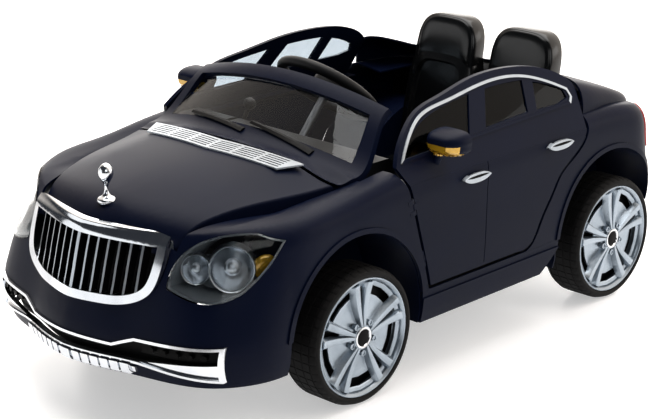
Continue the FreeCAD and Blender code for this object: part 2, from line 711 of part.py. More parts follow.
def deck_grid(inset):
    """The deck's left half as a grid, moved inwards by inset."""
    rows = []
    for along, fall, width in zip(deck_row_shares, deck_fall_shares, deck_width_shares):
        y = s.deck_front + along * s.deck_length
        base = crest_height(y) - s.shoulder_fall
        top = s.deck_height - fall * (s.deck_height - s.deck_tail_height) - inset
        half = width * s.deck_half - inset
        rows.append([Vector(x * half, y, base + z * (top - base)) for x, z in deck_section_shares])
    return rows


def rear_deck():
    """The boot deck and the two rear pillars, round the back of the seats."""
    half = between(deck_grid(0), deck_grid(s.wall))
    half = half.cut(box((0, 0, 0), (s.cockpit_half, s.cockpit_rear, far)))
    return half.cut(skin(s.seam, -s.overrun)).cut(tail_lamp_prism(s.seam))


def hood():
    """A hollow bonnet lid with rounded upper edges and a skirt all round."""
    lid = hood_block(0, 0, s.hood_skirt)
    wide_faces = sorted(lid.Faces, key=lambda face: face.Area)[-2:]
    top = max(wide_faces, key=lambda face: face.CenterOfMass.z)
    lid = lid.makeFillet(s.hood_round, top.Edges)
    return lid.cut(hood_block(s.wall, -s.wall, s.hood_skirt))


def hood_layer(low, high):
    """A thin sheet that follows the top of the bonnet."""
    return surface(hood_grid(0, low)).toShape().extrude(UP * (high - low))


VENT_SECTIONS = 6
VENT_SLITS = 5


def hood_vent():
    """A bright strip across the rear of the bonnet, in sections of long thin louvres."""
    half_front, half_rear = s.vent_front_width / 2, s.vent_rear_width / 2
    rear = hood_rear - s.vent_setback
    front = rear - s.vent_length
    corners = [Vector(x, y, 0) for x, y in (
        (-half_front, front), (0, front - s.hood_rear_bow), (half_front, front),
        (half_rear, rear), (0, rear - s.hood_rear_bow), (-half_rear, rear))]
    plan = Part.Face(Part.makePolygon(corners + corners[:1])).extrude(UP * far)
    strip = hood_layer(s.seam, s.seam + s.vent_proud).common(plan)
    section = s.vent_front_width / VENT_SECTIONS
    pitch = s.vent_length / (VENT_SLITS + 1)
    slits = []
    for index in range(VENT_SECTIONS):
        start = -half_front + index * section + s.vent_rib / 2
        ends = [(x, front - s.hood_rear_bow * (1 - abs(x) / half_front))
                for x in (start, start + section - s.vent_rib)]
        for step in range(VENT_SLITS):
            near = (step + 1) * pitch - s.vent_slit / 2
            line = [Vector(x, y + near, 0) for x, y in ends]
            back = [point + REAR * s.vent_slit for point in reversed(line)]
            slits.append(Part.Face(Part.makePolygon(line + back + line[:1])).extrude(UP * far))
    return strip.cut(Part.makeCompound(slits))


# The finial's half section: shares of its foot's radius and of its height.
ornament_section_shares = ((1, -0.06), (1, 0.04), (0.55, 0.12), (0.25, 0.24), (0.24, 0.4), (0.6, 0.56),
                           (0.82, 0.74), (0.55, 0.92), (0, 1))


def hood_ornament():
    """A plain turned finial: a dished foot, a waisted stem and an egg-shaped top."""
    y = hood_front + s.ornament_setback
    foot = hood_profile(s.ornament_setback / s.hood_length) + s.seam
    spots = [Vector(r * s.ornament_base_radius, y, foot + z * s.ornament_height)
             for r, z in ornament_section_shares]
    side = smooth(spots, spacing([spots])).toShape()
    axis_low = Vector(0, y, spots[0].z)
    edges = [side, Part.LineSegment(spots[-1], axis_low).toShape(),
             Part.LineSegment(axis_low, spots[0]).toShape()]
    turned = Part.Face(Part.Wire(edges)).revolve(Vector(0, y, 0), UP, 360)
    return turned.cut(hood_block(0, s.seam, s.overrun))


# Windscreen: rows of points from the cowl up to the top bar, bowed across the car

SCREEN_COLUMNS = 9
screen_rows = (
    (s.hood_rear_width / 2 + s.panel_gap, hood_rear + s.panel_gap, s.hood_rear_height,
     s.hood_edge_drop, -s.hood_rear_bow),
    (s.screen_base_width / 2, car_front + s.screen_base_setback, s.screen_base_height,
     s.screen_base_drop, s.screen_bow),
    ((s.screen_base_width + s.screen_top_width) / 4,
     car_front + (s.screen_base_setback + s.screen_top_setback) / 2,
     (s.screen_base_height + s.screen_top_height) / 2,
     (s.screen_base_drop + s.screen_top_drop) / 2, s.screen_bow),
    (s.screen_top_width / 2, car_front + s.screen_top_setback, s.screen_top_height,
     s.screen_top_drop, s.screen_bow))
screen_lean = math.atan2(s.screen_top_height - s.screen_base_height,
                         s.screen_top_setback - s.screen_base_setback)
screen_inward = Vector(0, math.sin(screen_lean), -math.cos(screen_lean))


def screen_grid(rows, depth, side_share=1):
    """The windscreen's surface, moved inwards by depth, over a share of its width."""
    grid = []
    for half, y, z, drop, bow in rows:
        sides = [side_share * (2 * k / (SCREEN_COLUMNS - 1) - 1) for k in range(SCREEN_COLUMNS)]
        if bow < 0:
            line = [Vector(a * half, y + bow * (1 - a * a), z - drop * a * a) for a in sides]
        else:
            line = [Vector(a * half, y + bow * a * a, z - drop * a * a) for a in sides]
        grid.append([point + screen_inward * depth for point in line])
    return grid


def screen_window(share_in, low_share, high_share, near, deep):
    """A block through the windscreen, inside its bars."""
    base, top = screen_rows[1], screen_rows[3]
    rows = []
    for share in (low_share, (low_share + high_share) / 2, high_share):
        rows.append(tuple(a + share * (b - a) for a, b in zip(base, top)))
    return between(screen_grid(rows, near, share_in), screen_grid(rows, deep, share_in))


window_side_share, window_low_share, window_high_share = 0.9, 0.13, 0.8


def screen_block(room):
    """The space that the windscreen's surround takes, open to the front, with room behind it."""
    return between(screen_grid(screen_rows, -s.overrun), screen_grid(screen_rows, s.screen_thickness + room))


def windscreen_frame():
    """The windscreen surround with the cowl panel in front of it."""
    frame = between(screen_grid(screen_rows, 0), screen_grid(screen_rows, s.screen_thickness))
    return frame.cut(screen_window(window_side_share, window_low_share, window_high_share,
                                   -s.overrun, s.overrun))


def windscreen_pane():
    """The clear pane, held in the middle of the surround's depth."""
    inset_share = s.seam / s.screen_base_width
    near = (s.screen_thickness - s.pane_thickness) / 2
    return screen_window(window_side_share - 2 * inset_share, window_low_share + 2 * inset_share,
                         window_high_share - 2 * inset_share, near, near + s.pane_thickness)


# Grille: a thick bright surround with a header bar, upright bars and a dark screen behind

frame_proud_share = 0.75
frame_proud = frame_proud_share * s.trim_proud
grille_skin = skin(frame_proud, -s.grille_depth)


def grille_frame():
    """The surround of the grille and the header bar along its top."""
    ring = front_prism(grille_runs(), front_low, grille_rear)
    ring = ring.cut(front_prism(grille_runs(), front_low, grille_rear, -s.grille_border))
    border = grille_skin.common(ring)
    top = box((0, front_low, s.grille_top), (s.grille_top_half, grille_rear, far))
    header = skin(frame_proud, -s.grille_depth * 2).common(top).cut(hood_opening)
    return whole(border.fuse(header).cut(hood_room))


BARS_PER_SIDE = 6


def grille_bars():
    """Upright bars inside the surround, with a wider one in the middle."""
    inside = front_prism(grille_runs(), front_low, grille_rear, -s.grille_border - s.seam).cut(hood_room)
    bar_skin = skin(s.trim_proud / 4, -s.grille_depth + s.wall)
    middle_skin = skin(s.trim_proud / 2, -s.grille_depth + s.wall)
    middle = box((0, front_low, 0), (s.grille_centre_width / 2, front_high, far))
    bars = [whole(middle_skin.common(middle).common(inside))]
    for index in range(BARS_PER_SIDE):
        x = (index + 1) * s.grille_bar_pitch
        slice_box = box((x - s.grille_bar_width / 2, front_low, 0),
                        (x + s.grille_bar_width / 2, front_high, far))
        bar = bar_skin.common(slice_box).common(inside)
        bars += [bar, mirrored(bar)]
    return Part.makeCompound(bars)


def grille_screens():
    """Dark backing sheets behind the grille and behind the low intake."""
    deep = -s.grille_depth - s.seam
    sheet_skin = skin(deep, deep - s.wall)
    upper = sheet_skin.common(front_prism(grille_runs(), front_low, grille_rear, -s.seam))
    upper = upper.cut(box((0, front_low, s.grille_top - s.grille_border / 2), (far, grille_rear, far)))
    upper = upper.cut(hood_room)
    lower = sheet_skin.common(front_prism(intake_runs(), front_low, front_high - s.overrun, s.wall))
    lower = lower.cut(box((0, front_low, s.grille_bottom - s.overrun / 2), (far, front_high, far)))
    return Part.makeCompound([whole(upper), whole(lower)])


# Headlamps

lens_skin = skin(s.lens_wall / 2, -s.lens_wall / 2)
lamp_back = -s.lens_wall / 2 - s.seam
lens_room = skin(s.lens_wall, lamp_back)


def headlamp_lens():
    """The clear cover of the left headlamp."""
    return lens_skin.common(lamp_prism(0))


def headlamp_housing():
    """The left headlamp's bucket, open to the front."""
    bucket = skin(lamp_back, lamp_back - s.lamp_depth).common(lamp_prism(0))
    pocket = skin(0, lamp_back - s.lamp_depth + s.lamp_wall).common(lamp_prism(-s.lamp_wall))
    return bucket.cut(pocket)


def skin_front(x, z):
    """The Y of the outer skin at a place in front view."""
    line = Part.LineSegment(Vector(x, front_low, z), Vector(x, front_axle, z)).toShape()
    return min(vertex.Y for vertex in panel.common(line).Vertexes)


lamp_toe = math.radians(s.lamp_toe_angle)
lamp_axis = Vector(-math.sin(lamp_toe), math.cos(lamp_toe), 0)
large_lamp_shares = (0.6, 0.52)
small_lamp_shares = (0.235, 0.43)


def headlamp_reflectors():
    """A large and a small reflector bowl, each on a stem from the bucket's back."""
    housing = headlamp_housing()
    bowls = []
    lamps = ((large_lamp_shares, s.reflector_radius), (small_lamp_shares, s.small_reflector_radius))
    for (across, up), radius in lamps:
        x = s.lamp_inner + across * (s.lamp_outer - s.lamp_inner)
        z = s.lamp_low + up * (s.lamp_high - s.lamp_low)
        mouth = Vector(x, skin_front(x, z), z) + lamp_axis * (s.reflector_depth / 2)
        bowl = Part.makeCone(radius, radius / 2, s.reflector_depth, mouth, lamp_axis)
        hollow = Part.makeCone(radius - s.reflector_wall, radius / 2 - s.reflector_wall,
                               s.reflector_depth - s.reflector_wall, mouth, lamp_axis)
        back = mouth + lamp_axis * (s.reflector_depth - s.reflector_wall)
        stem = rod(radius / 3, back, back + lamp_axis * s.lamp_depth)
        solid = bowl.cut(hollow).fuse(stem).cut(housing).cut(lens_room)
        bowls.append(max(solid.Solids, key=lambda piece: piece.Volume))
    return Part.makeCompound(bowls + [mirrored(bowl) for bowl in bowls])


def tail_lamp():
    """The left tail lamp's red lens block, clear of the wheel liner."""
    block = skin(s.trim_proud / 4, -s.tail_lamp_depth).common(tail_lamp_prism(0))
    return block.cut(arch(rear_arch, s.arch_radius + s.liner_wall + s.seam, pan_half, far))


# Bumper: bright trim round the intake, lamp clusters and the toothed bar below

def bumper_trim():
    """The bright rim of the intake with a shelf under each lamp pocket."""
    outer = front_prism(intake_runs(), front_low, front_high - s.overrun)
    inner = front_prism(intake_runs(), front_low, front_high - s.overrun, -s.bumper_trim_lip)
    rim = skin(s.trim_proud / 2, -s.grille_depth / 2).common(outer.cut(inner))
    inner_end, outer_end = low_share * s.intake_half, s.fog_outer - s.bumper_trim_lip
    shelf_top = (s.fog_low + s.intake_side_top) / 2
    tip = s.intake_bottom + s.bumper_trim_lip
    shelf_runs = [[(inner_end, s.intake_bottom)], [(outer_end, s.fog_low + s.bumper_trim_lip / 2)],
                  [(outer_end, shelf_top)],
                  [((inner_end + outer_end) / 2, (tip + 2 * shelf_top) / 3), (inner_end, tip)]]
    shelf = skin(0, -s.grille_depth / 2).common(front_prism(shelf_runs, front_low, front_high - s.overrun))
    return whole(rim.fuse(shelf))


FOG_LAMPS = 5
fog_end_share = 1.5


def fog_lamps():
    """A dark strip with a row of small round lamps in each pocket."""
    deep = s.grille_depth / 2 + s.seam
    low = (s.fog_low + s.intake_side_top) / 2 + s.seam
    high = s.intake_side_top - 2 * s.bumper_trim_lip
    start = low_share * s.intake_half
    strip_box = box((start, front_low, low),
                    (s.fog_outer - 2 * s.bumper_trim_lip, front_high - s.overrun, high))
    strip = skin(-deep, -s.grille_depth).common(strip_box)
    bead_skin = skin(-s.wall / 2, -s.grille_depth)
    z = (low + high) / 2
    for index in range(FOG_LAMPS):
        x = start + (index + 1) * (s.fog_outer - start) / (FOG_LAMPS + fog_end_share)
        y = skin_front(x, z)
        bead = rod(s.fog_radius, Vector(x, y, z), Vector(x, y + deep + s.wall, z))
        strip = strip.fuse(bead.common(bead_skin))
    return strip


TEETH_PER_SIDE = 6
rail_end_share = 1.2
centre_tooth_share = 0.8


def bumper_teeth():
    """The bright bar of blocks along the lower edge of the nose."""
    block_skin = skin(s.trim_proud, s.seam)
    rail_skin = skin(s.trim_proud / 2, s.seam)
    pitch = s.tooth_width + s.tooth_gap
    reach = (TEETH_PER_SIDE + rail_end_share) * pitch
    middle = s.tooth_base + s.tooth_height / 4
    half = rail_skin.common(box((0, front_low, middle), (reach, front_high, middle + s.tooth_height / 2)))
    for index in range(TEETH_PER_SIDE):
        x = pitch * (index + 1)
        tooth = box((x, front_low, s.tooth_base),
                    (x + s.tooth_width, front_high, s.tooth_base + s.tooth_height))
        half = half.fuse(block_skin.common(tooth))
    centre = box((0, front_low, s.tooth_base),
                 (centre_tooth_share * s.tooth_width, front_high, s.tooth_base + s.tooth_height))
    return whole(half.fuse(block_skin.common(centre)))


# Doors. The left one is modelled and the right one is its reflection.

frame_foot = half_width - s.frame_foot_inset


def leaning_slab(near, deep, lip=0):
    """A slab that leans in above the belt, between two depths from its outer face."""
    rise = far / 4
    lean = s.side_lean * rise
    runs = [[(frame_foot - near, s.belt_height)], [(frame_foot - near - lean, s.belt_height + rise)],
            [(frame_foot - deep - lean, s.belt_height + rise)], [(frame_foot - deep, s.belt_height)]]
    if lip:
        runs += [[(frame_foot - deep, s.belt_height - lip)], [(frame_foot - near, s.belt_height - lip)]]
    return front_prism(runs, -far / 2, far / 2)


hinge_foot = Vector(half_width - s.hinge_inset, -s.door_front_foot - s.door_gap / 2, s.door_bottom)
hinge_along = Vector(0, -s.door_front_lean, s.belt_height - s.door_bottom).normalize()
hinge_rise = (s.belt_height - s.door_bottom) / hinge_along.z
hinge_place_shares = (0.2, 0.72)
eye_radius = s.door_gap / 2 - s.seam


def hinge_span(share, low_share, high_share):
    """Two points on the hinge axis, as shares of one hinge's length."""
    start = hinge_foot + hinge_along * (share * hinge_rise)
    return (start + hinge_along * (low_share * s.hinge_pin_length),
            start + hinge_along * (high_share * s.hinge_pin_length))


def hinge_eye(share, low_share, high_share, reach):
    """A hinge knuckle round the pin with a leaf that reaches along the car by reach."""
    low, high = hinge_span(share, low_share, high_share)
    away = Vector(0, hinge_along.z, -hinge_along.y) * reach
    corners = (low, high, high + away, low + away)
    leaf = side_prism([[(spot.y, spot.z)] for spot in corners],
                      hinge_foot.x - eye_radius, hinge_foot.x + eye_radius)
    shaft = rod(s.hinge_pin_radius + s.run_clearance,
                low - hinge_along * s.overrun, high + hinge_along * s.overrun)
    return rod(eye_radius, low, high).fuse(leaf).cut(shaft)


wing_eye_shares = ((0, 0.3), (0.7, 1))
door_eye_shares = (0.32, 0.68)


groove_shares = [(0.315, 0.03), (0.337, 1)]


def door_groove():
    """A thin upright groove in the outer face of the left door."""
    low, high = placed([groove_shares], s.door_bottom, s.belt_height)[0]
    runs = [[low], [high], [(high[0] + s.door_groove_width, high[1])],
            [(low[0] + s.door_groove_width, low[1])]]
    return skin(s.wall, -s.door_groove_depth).common(side_prism(runs, frame_foot - s.overrun, far))


def door():
    """The left door: a thick lower panel and a window frame that leans in."""
    lower = skin(0, -s.door_thickness).common(side_prism(lower_door, frame_foot - s.overrun, far))
    corner, end = upper_door[0][0], upper_door[-1][-1]
    foot = s.belt_height - s.door_thickness / 2
    tuck = [[corner], [end], [(end[0] - s.door_gap, foot)], [(corner[0] + s.door_gap, foot)]]
    outline = side_prism(upper_door, 0, far).fuse(side_prism(tuck, 0, far))
    slab = leaning_slab(s.seam, s.frame_thickness, s.door_thickness / 2)
    solid = lower.cut(door_groove()).fuse(slab.common(outline))
    solid = solid.cut(Part.makeCompound([side_prism(runs, 0, far) for runs in windows]))
    for share in hinge_place_shares:
        solid = solid.fuse(hinge_eye(share, *door_eye_shares, s.hinge_leaf))
    return solid


def window_panes():
    """The three dark panes of the left door."""
    near = (s.frame_thickness - s.pane_thickness) / 2
    sheet_slab = leaning_slab(near, near + s.pane_thickness)
    panes = []
    for runs in windows:
        panes.append(sheet_slab.common(grown_side(runs, -s.seam)))
    return Part.makeCompound(panes)


def window_trim(room=0):
    """A bright line round the windows of the left door, with room round it."""
    path = placed(trim_path_shares, s.belt_height, s.door_top)
    outline = face_of(path, lambda y, z: Vector(0, y, z))
    outer = grown(outline, room) if room else outline
    ring = outer.cut(grown(outline, -s.window_trim_width - room)).extrude(LEFT * far)
    return leaning_slab(-s.window_trim_proud - room, 0).common(ring)


handle_shares = ((0.252, 0.9), (0.784, 0.945))


# The upper half of a handle's lens outline, and of its finger recess.
lens_shares = ((-0.5, 0), (-0.36, 0.3), (0, 0.5), (0.36, 0.3), (0.5, 0))
recess_reach_share = 0.6


def handle_prism(y, z, share):
    """A lens in side view round a place on the door, at a share of the handle's size."""
    upper = [(y + along * share * s.handle_length, z + up * share * s.handle_height)
             for along, up in lens_shares]
    lower = [(spot_y, 2 * z - spot_z) for spot_y, spot_z in reversed(upper)]
    return side_prism([[upper[0]], upper[1:], lower[1:]], frame_foot - s.overrun, far)


def door_handles():
    """Two bright lens-shaped pull handles on the left door, each open behind its middle."""
    grip_skin = skin(s.handle_proud, s.seam)
    recess_skin = skin(s.handle_proud / 2, 0)
    handles = []
    for along, up in handle_shares:
        y = -s.door_front_foot + along * s.door_length
        z = s.door_bottom + up * (s.belt_height - s.door_bottom)
        finger_gap = box((0, y - recess_reach_share * s.handle_length / 2, z - s.handle_height),
                         (far, y + recess_reach_share * s.handle_length / 2, z + s.handle_height))
        handles.append(grip_skin.common(handle_prism(y, z, 1)).cut(recess_skin.common(finger_gap)))
    return Part.makeCompound(handles)


# Door mirrors: a rounded shell on a short stalk, with a lamp along the front

mirror_place_shares = (0.07, 1.42)
mirror_centre = Vector(half_width, -s.door_front_foot + mirror_place_shares[0] * s.door_length,
                       s.belt_height + mirror_place_shares[1] * s.mirror_height)


MIRROR_POINTS = 16


def mirror_ring(y, wide, high, power_share):
    """A superellipse round the mirror's centre, upright across the car."""
    points = []
    for step in range(MIRROR_POINTS):
        angle = 2 * math.pi * step / MIRROR_POINTS
        c, d = math.cos(angle), math.sin(angle)
        points.append(Vector(mirror_centre.x + wide / 2 * math.copysign(abs(c) ** power_share, c), y,
                             mirror_centre.z + high / 2 * math.copysign(abs(d) ** power_share, d)))
    curve = Part.BSplineCurve()
    curve.interpolate(points, PeriodicFlag=True)
    return Part.Wire(curve.toShape())


mirror_depth_shares = ((0, 0.5, 0.45), (0.18, 0.8, 0.78), (0.5, 0.97, 0.97), (1, 1, 1))
mirror_power_share = 0.62


def mirror_shell():
    """The mirror's shell as a loft from its rounded front to its flat rear."""
    wires = []
    for along, wide, high in mirror_depth_shares:
        y = mirror_centre.y + (along - 1 / 2) * s.mirror_depth
        wires.append(mirror_ring(y, wide * s.mirror_width, high * s.mirror_height, mirror_power_share))
    return Part.makeLoft(wires, True, False)


lamp_band_shares = (0.16, 0.5)
lamp_band_depth_share = 0.4


def mirror_band(grow):
    """The slice of the mirror that its lamp takes, grown by grow."""
    low = mirror_centre.z - s.mirror_height / 2
    rear = mirror_centre.y - s.mirror_depth / 2 + lamp_band_depth_share * s.mirror_depth
    return box((mirror_centre.x - s.mirror_width, mirror_centre.y - s.mirror_depth,
                low + lamp_band_shares[0] * s.mirror_height - grow),
               (mirror_centre.x + s.mirror_width, rear + grow,
                low + lamp_band_shares[1] * s.mirror_height + grow))


recess_share = 0.86
stalk_foot_share = 0.45


def door_mirror():
    """The left mirror's shell with its glass recess and its stalk."""
    rear = mirror_centre.y + s.mirror_depth / 2
    recess = Part.Face(mirror_ring(rear, recess_share * s.mirror_width, recess_share * s.mirror_height,
                                   mirror_power_share))
    shell = mirror_shell().cut(recess.extrude(REAR * -s.wall))
    rise = stalk_foot_share * s.mirror_height
    foot = Vector(frame_foot - s.side_lean * rise - s.mirror_stalk, mirror_centre.y, s.belt_height + rise)
    shell = shell.fuse(rod(s.mirror_stalk, foot, mirror_centre))
    shell = shell.cut(mirror_band(s.seam)).cut(leaning_slab(0, s.overrun * 2))
    return shell.cut(window_trim(s.seam))


def mirror_lamp():
    """The amber lamp along the front of the left mirror."""
    return mirror_shell().common(mirror_band(0))


# Steering gear and front axle

steer_tilt = math.radians(s.steering_lean)
column_up = Vector(0, math.sin(steer_tilt), math.cos(steer_tilt))
crank_out = Vector(0, -math.cos(steer_tilt), math.sin(steer_tilt))
wheel_centre = Vector(0, car_front + s.steering_setback, s.steering_height)
column_low = wheel_centre - column_up * s.column_length
crank_end = column_low + crank_out * s.crank_radius
tie_y = front_axle - s.steer_arm
beam_low = axle_height - s.beam_height / 2
beam_high = axle_height + s.beam_height / 2
plate_low = beam_low - s.loose_clearance - s.knuckle_plate
plate_high = beam_high + s.loose_clearance
tie_height = axle_height - s.tie_rod_radius + s.slot_clearance


def column_bore():
    """A running bore for the steering column, along its whole length."""
    return rod(s.column_radius + s.run_clearance, column_low, wheel_centre)


def axle_bore():
    """A running bore for the rear axle, right across the car."""
    return rod(s.axle_radius + s.run_clearance, Vector(-half_width, rear_axle, axle_height),
               Vector(half_width, rear_axle, axle_height))


def steering_notch():
    """Clearance through the wheel wells' inner walls for the axle beam and the tie rod."""
    return box((-half_width + s.overrun, tie_y - s.kingpin_eye, floor_top),
               (half_width - s.overrun, front_axle + s.beam_width / 2 + s.panel_gap,
                plate_high + s.knuckle_plate))


crank_share = 0.8


def steering_column():
    """The column with its crank and crank pin at the lower end."""
    column = rod(s.column_radius, column_low, wheel_centre - column_up * s.spoke_width / 2)
    arm = rod(crank_share * s.column_radius, column_low + column_up * s.column_radius,
              crank_end + column_up * s.column_radius)
    pin = rod(s.tie_pin_radius, crank_end + column_up * s.column_radius,
              crank_end - column_up * s.crank_pin_length)
    return column.fuse([arm, pin])


def tie_rod():
    """The tie rod with a slotted plate at each end and a slotted fork for the crank pin."""
    shape = rod(s.tie_rod_radius, Vector(-s.kingpin_reach, tie_y, tie_height),
                Vector(s.kingpin_reach, tie_y, tie_height))
    low = tie_height - s.tie_plate / 2
    eye_half = s.tie_pin_radius + s.tie_plate
    fit = s.tie_pin_radius + s.slot_clearance
    reach, room = s.tie_slot_room + eye_half, s.tie_slot_room + fit
    slots = []
    for x in (-s.kingpin_reach, s.kingpin_reach):
        shape = shape.fuse(box((x - eye_half, tie_y - reach, low),
                               (x + eye_half, tie_y + reach, low + s.tie_plate)))
        slots.append(box((x - fit, tie_y - room, 0), (x + fit, tie_y + room, far)))
    fork_low = beam_high + s.kingpin_eye
    fork_high = fork_low + s.tie_plate
    slope = math.tan(steer_tilt)
    pin_y = crank_end.y - (crank_end.z - fork_low - s.tie_plate / 2) * slope
    front, rear = pin_y - 2 * eye_half, tie_y + eye_half
    slot_front, slot_rear = pin_y - eye_half - s.tie_plate / 2, tie_y + s.tie_rod_radius / 2
    fork_half = eye_half + s.tie_plate / 2
    fork = box((-fork_half, front, fork_low), (fork_half, rear, fork_high))
    post = box((-eye_half, slot_rear, low), (eye_half, rear, fork_high))
    slots.append(box((-fit, slot_front, fork_low - s.tie_plate), (fit, slot_rear, far)))
    return shape.fuse([fork, post]).cut(Part.makeCompound(slots))


stub_end = s.wheel_face - s.axle_radius


def knuckle():
    """The left steering knuckle: two plates, kingpin, stub axle and steering arm."""
    x, y = s.kingpin_reach, front_axle
    web_in = x + s.kingpin_eye + s.loose_clearance
    web_out = web_in + s.knuckle_plate
    half = s.kingpin_eye
    low = box((x - half, y - half, plate_low), (web_out, y + half, beam_low - s.loose_clearance))
    high = box((x - half, y - half, plate_high), (web_out, y + half, plate_high + s.knuckle_plate))
    web = box((web_in, y - half, plate_low), (web_out, y + half, plate_high + s.knuckle_plate))
    kingpin = rod(s.kingpin_radius, Vector(x, y, plate_low), Vector(x, y, plate_high + s.knuckle_plate))
    stub = rod(s.axle_radius, Vector(web_in, y, axle_height), Vector(stub_end, y, axle_height))
    arm = box((x - s.axle_radius, tie_y - s.axle_radius, plate_high),
              (x + s.axle_radius, y, plate_high + s.knuckle_plate))
    pin = rod(s.tie_pin_radius, Vector(x, tie_y, tie_height - s.tie_plate),
              Vector(x, tie_y, plate_high + s.knuckle_plate / 2))
    return low.fuse([high, web, kingpin, stub, arm, pin])


def axle_beam():
    """The front axle beam with an eye for each kingpin."""
    half = s.beam_width / 2
    beam = box((-s.kingpin_reach, front_axle - half, beam_low),
               (s.kingpin_reach, front_axle + half, beam_high))
    for x in (-s.kingpin_reach, s.kingpin_reach):
        foot, head = Vector(x, front_axle, beam_low), Vector(x, front_axle, beam_high)
        beam = beam.fuse(rod(s.kingpin_eye, foot, head))
        beam = beam.cut(rod(s.kingpin_radius + s.run_clearance, foot, head))
    return beam


spoke_angles = (0, 90, 180)


def steering_wheel():
    """The rim, three spokes and the hub, tilted to the column."""
    ring_radius = s.steering_radius - s.steering_grip
    ring = Part.makeTorus(ring_radius, s.steering_grip)
    hub = Part.makeCylinder(s.steering_hub, s.spoke_width, Vector(0, 0, -s.spoke_width / 2))
    shape = ring.fuse(hub)
    for angle in spoke_angles:
        spoke = box((0, -s.spoke_width / 2, -s.steering_grip / 2),
                    (ring_radius, s.spoke_width / 2, s.steering_grip / 2))
        spoke.rotate(HERE, UP, angle)
        shape = shape.fuse(spoke)
    pocket = Part.makeCylinder(s.horn_radius + s.seam, s.spoke_width, HERE)
    shaft = Part.makeCylinder(s.column_radius + s.run_clearance, far, Vector(0, 0, -far - s.horn_travel))
    return tilted(shape.cut(pocket).cut(shaft))


def tilted(shape):
    """A shape round the Z axis, moved to the steering wheel's centre and tilt."""
    shape.rotate(HERE, LEFT, -s.steering_lean)
    shape.translate(wheel_centre)
    return shape


def horn_button():
    """The round button in the hub, raised by its travel."""
    low = s.horn_travel + s.seam
    button = Part.makeCylinder(s.horn_radius, s.spoke_width / 2, Vector(0, 0, low))
    return tilted(button)


# Wheels

SPOKES = 5


def radial_slot(inner, outer, inner_width, outer_width, angle):
    """A tapered window through a wheel's disc."""
    corners = [Vector(0, -inner_width / 2, inner), Vector(0, inner_width / 2, inner),
               Vector(0, outer_width / 2, outer), Vector(0, -outer_width / 2, outer)]
    slot = Part.Face(Part.makePolygon(corners + corners[:1])).extrude(LEFT * far)
    slot.rotate(HERE, LEFT, angle)
    return slot


disc_share = 0.78
slot_reach_shares = (0.44, 0.92)
narrow_slot_shares = (0.05, 0.08)
wide_slot_shares = (0.1, 0.3)


def rim():
    """A left wheel's rim on its own axis: barrel, slotted disc, hub, cap and lug nuts."""
    radius = s.rim_diameter / 2
    inner = s.wheel_face - s.tyre_width + s.wall / 2
    outer = s.wheel_face - s.wall / 2
    barrel = rod(radius, LEFT * inner, LEFT * outer).cut(rod(radius - s.rim_wall, LEFT * 0, LEFT * far))
    disc_out = inner + disc_share * (outer - inner)
    disc = rod(radius - s.rim_wall / 2, LEFT * (disc_out - s.spoke_depth), LEFT * disc_out)
    slots = []
    for index in range(SPOKES):
        turn = index * 360 / SPOKES
        low, high = slot_reach_shares[0] * radius, slot_reach_shares[1] * radius
        narrow = [share * radius for share in narrow_slot_shares]
        wide = [share * radius for share in wide_slot_shares]
        slots.append(radial_slot(low, high, *narrow, turn))
        slots.append(radial_slot(low, high, *wide, turn + 180 / SPOKES))
    disc = disc.cut(Part.makeCompound(slots))
    hub = rod(s.hub_radius, LEFT * (inner + s.wall), LEFT * (disc_out + s.wall))
    cap = rod(s.cap_radius, LEFT * disc_out, LEFT * outer)
    shape = barrel.fuse([disc, hub, cap])
    for index in range(SPOKES):
        angle = 2 * math.pi * (index + 1 / 2) / SPOKES
        spot = Vector(0, s.lug_circle * math.sin(angle), s.lug_circle * math.cos(angle))
        shape = shape.fuse(rod(s.lug_radius, spot + LEFT * disc_out, spot + LEFT * (disc_out + s.wall * 2)))
    return shape.cut(rod(s.axle_radius + s.run_clearance, LEFT * 0, LEFT * (stub_end + s.seam)))


def at_wheel(shape, y, side):
    """A wheel's shape moved to an axle on one side of the car."""
    moved = shape.copy()
    moved.translate(Vector(0, y, axle_height))
    return moved if side > 0 else mirrored(moved)


# Floor, cabin and seats

def floor_pan():
    """The floor tub: a long narrow tray that widens between the wheels."""
    high = floor_bottom + s.floor_wall_height
    narrow = (-pan_half, -s.floor_front, floor_bottom), (pan_half, s.floor_rear, high)
    wide = (-s.floor_half, -s.tub_front, floor_bottom), (s.floor_half, s.tub_rear, high)
    outer = box(*narrow).fuse(box(*wide))
    hollow = [box((low[0] + s.floor_thickness, low[1] + s.floor_thickness, floor_top),
                  (top[0] - s.floor_thickness, top[1] - s.floor_thickness, far))
              for low, top in (narrow, wide)]
    tray = outer.cut(hollow[0].fuse(hollow[1])).common(inner_space)
    return tray.cut(Part.makeCompound([steering_notch(), axle_bore()]))


lever_pivot_shares = (0.84, 0.5)
lever_foot = Vector(-s.lever_offset, firewall + s.wall + lever_pivot_shares[0] * s.dash_depth,
                    s.dash_bottom + lever_pivot_shares[1] * (s.dash_top - s.dash_bottom))
lever_tilt = math.radians(s.lever_lean)
lever_along = Vector(0, math.sin(lever_tilt), math.cos(lever_tilt))


pin_share = 0.6


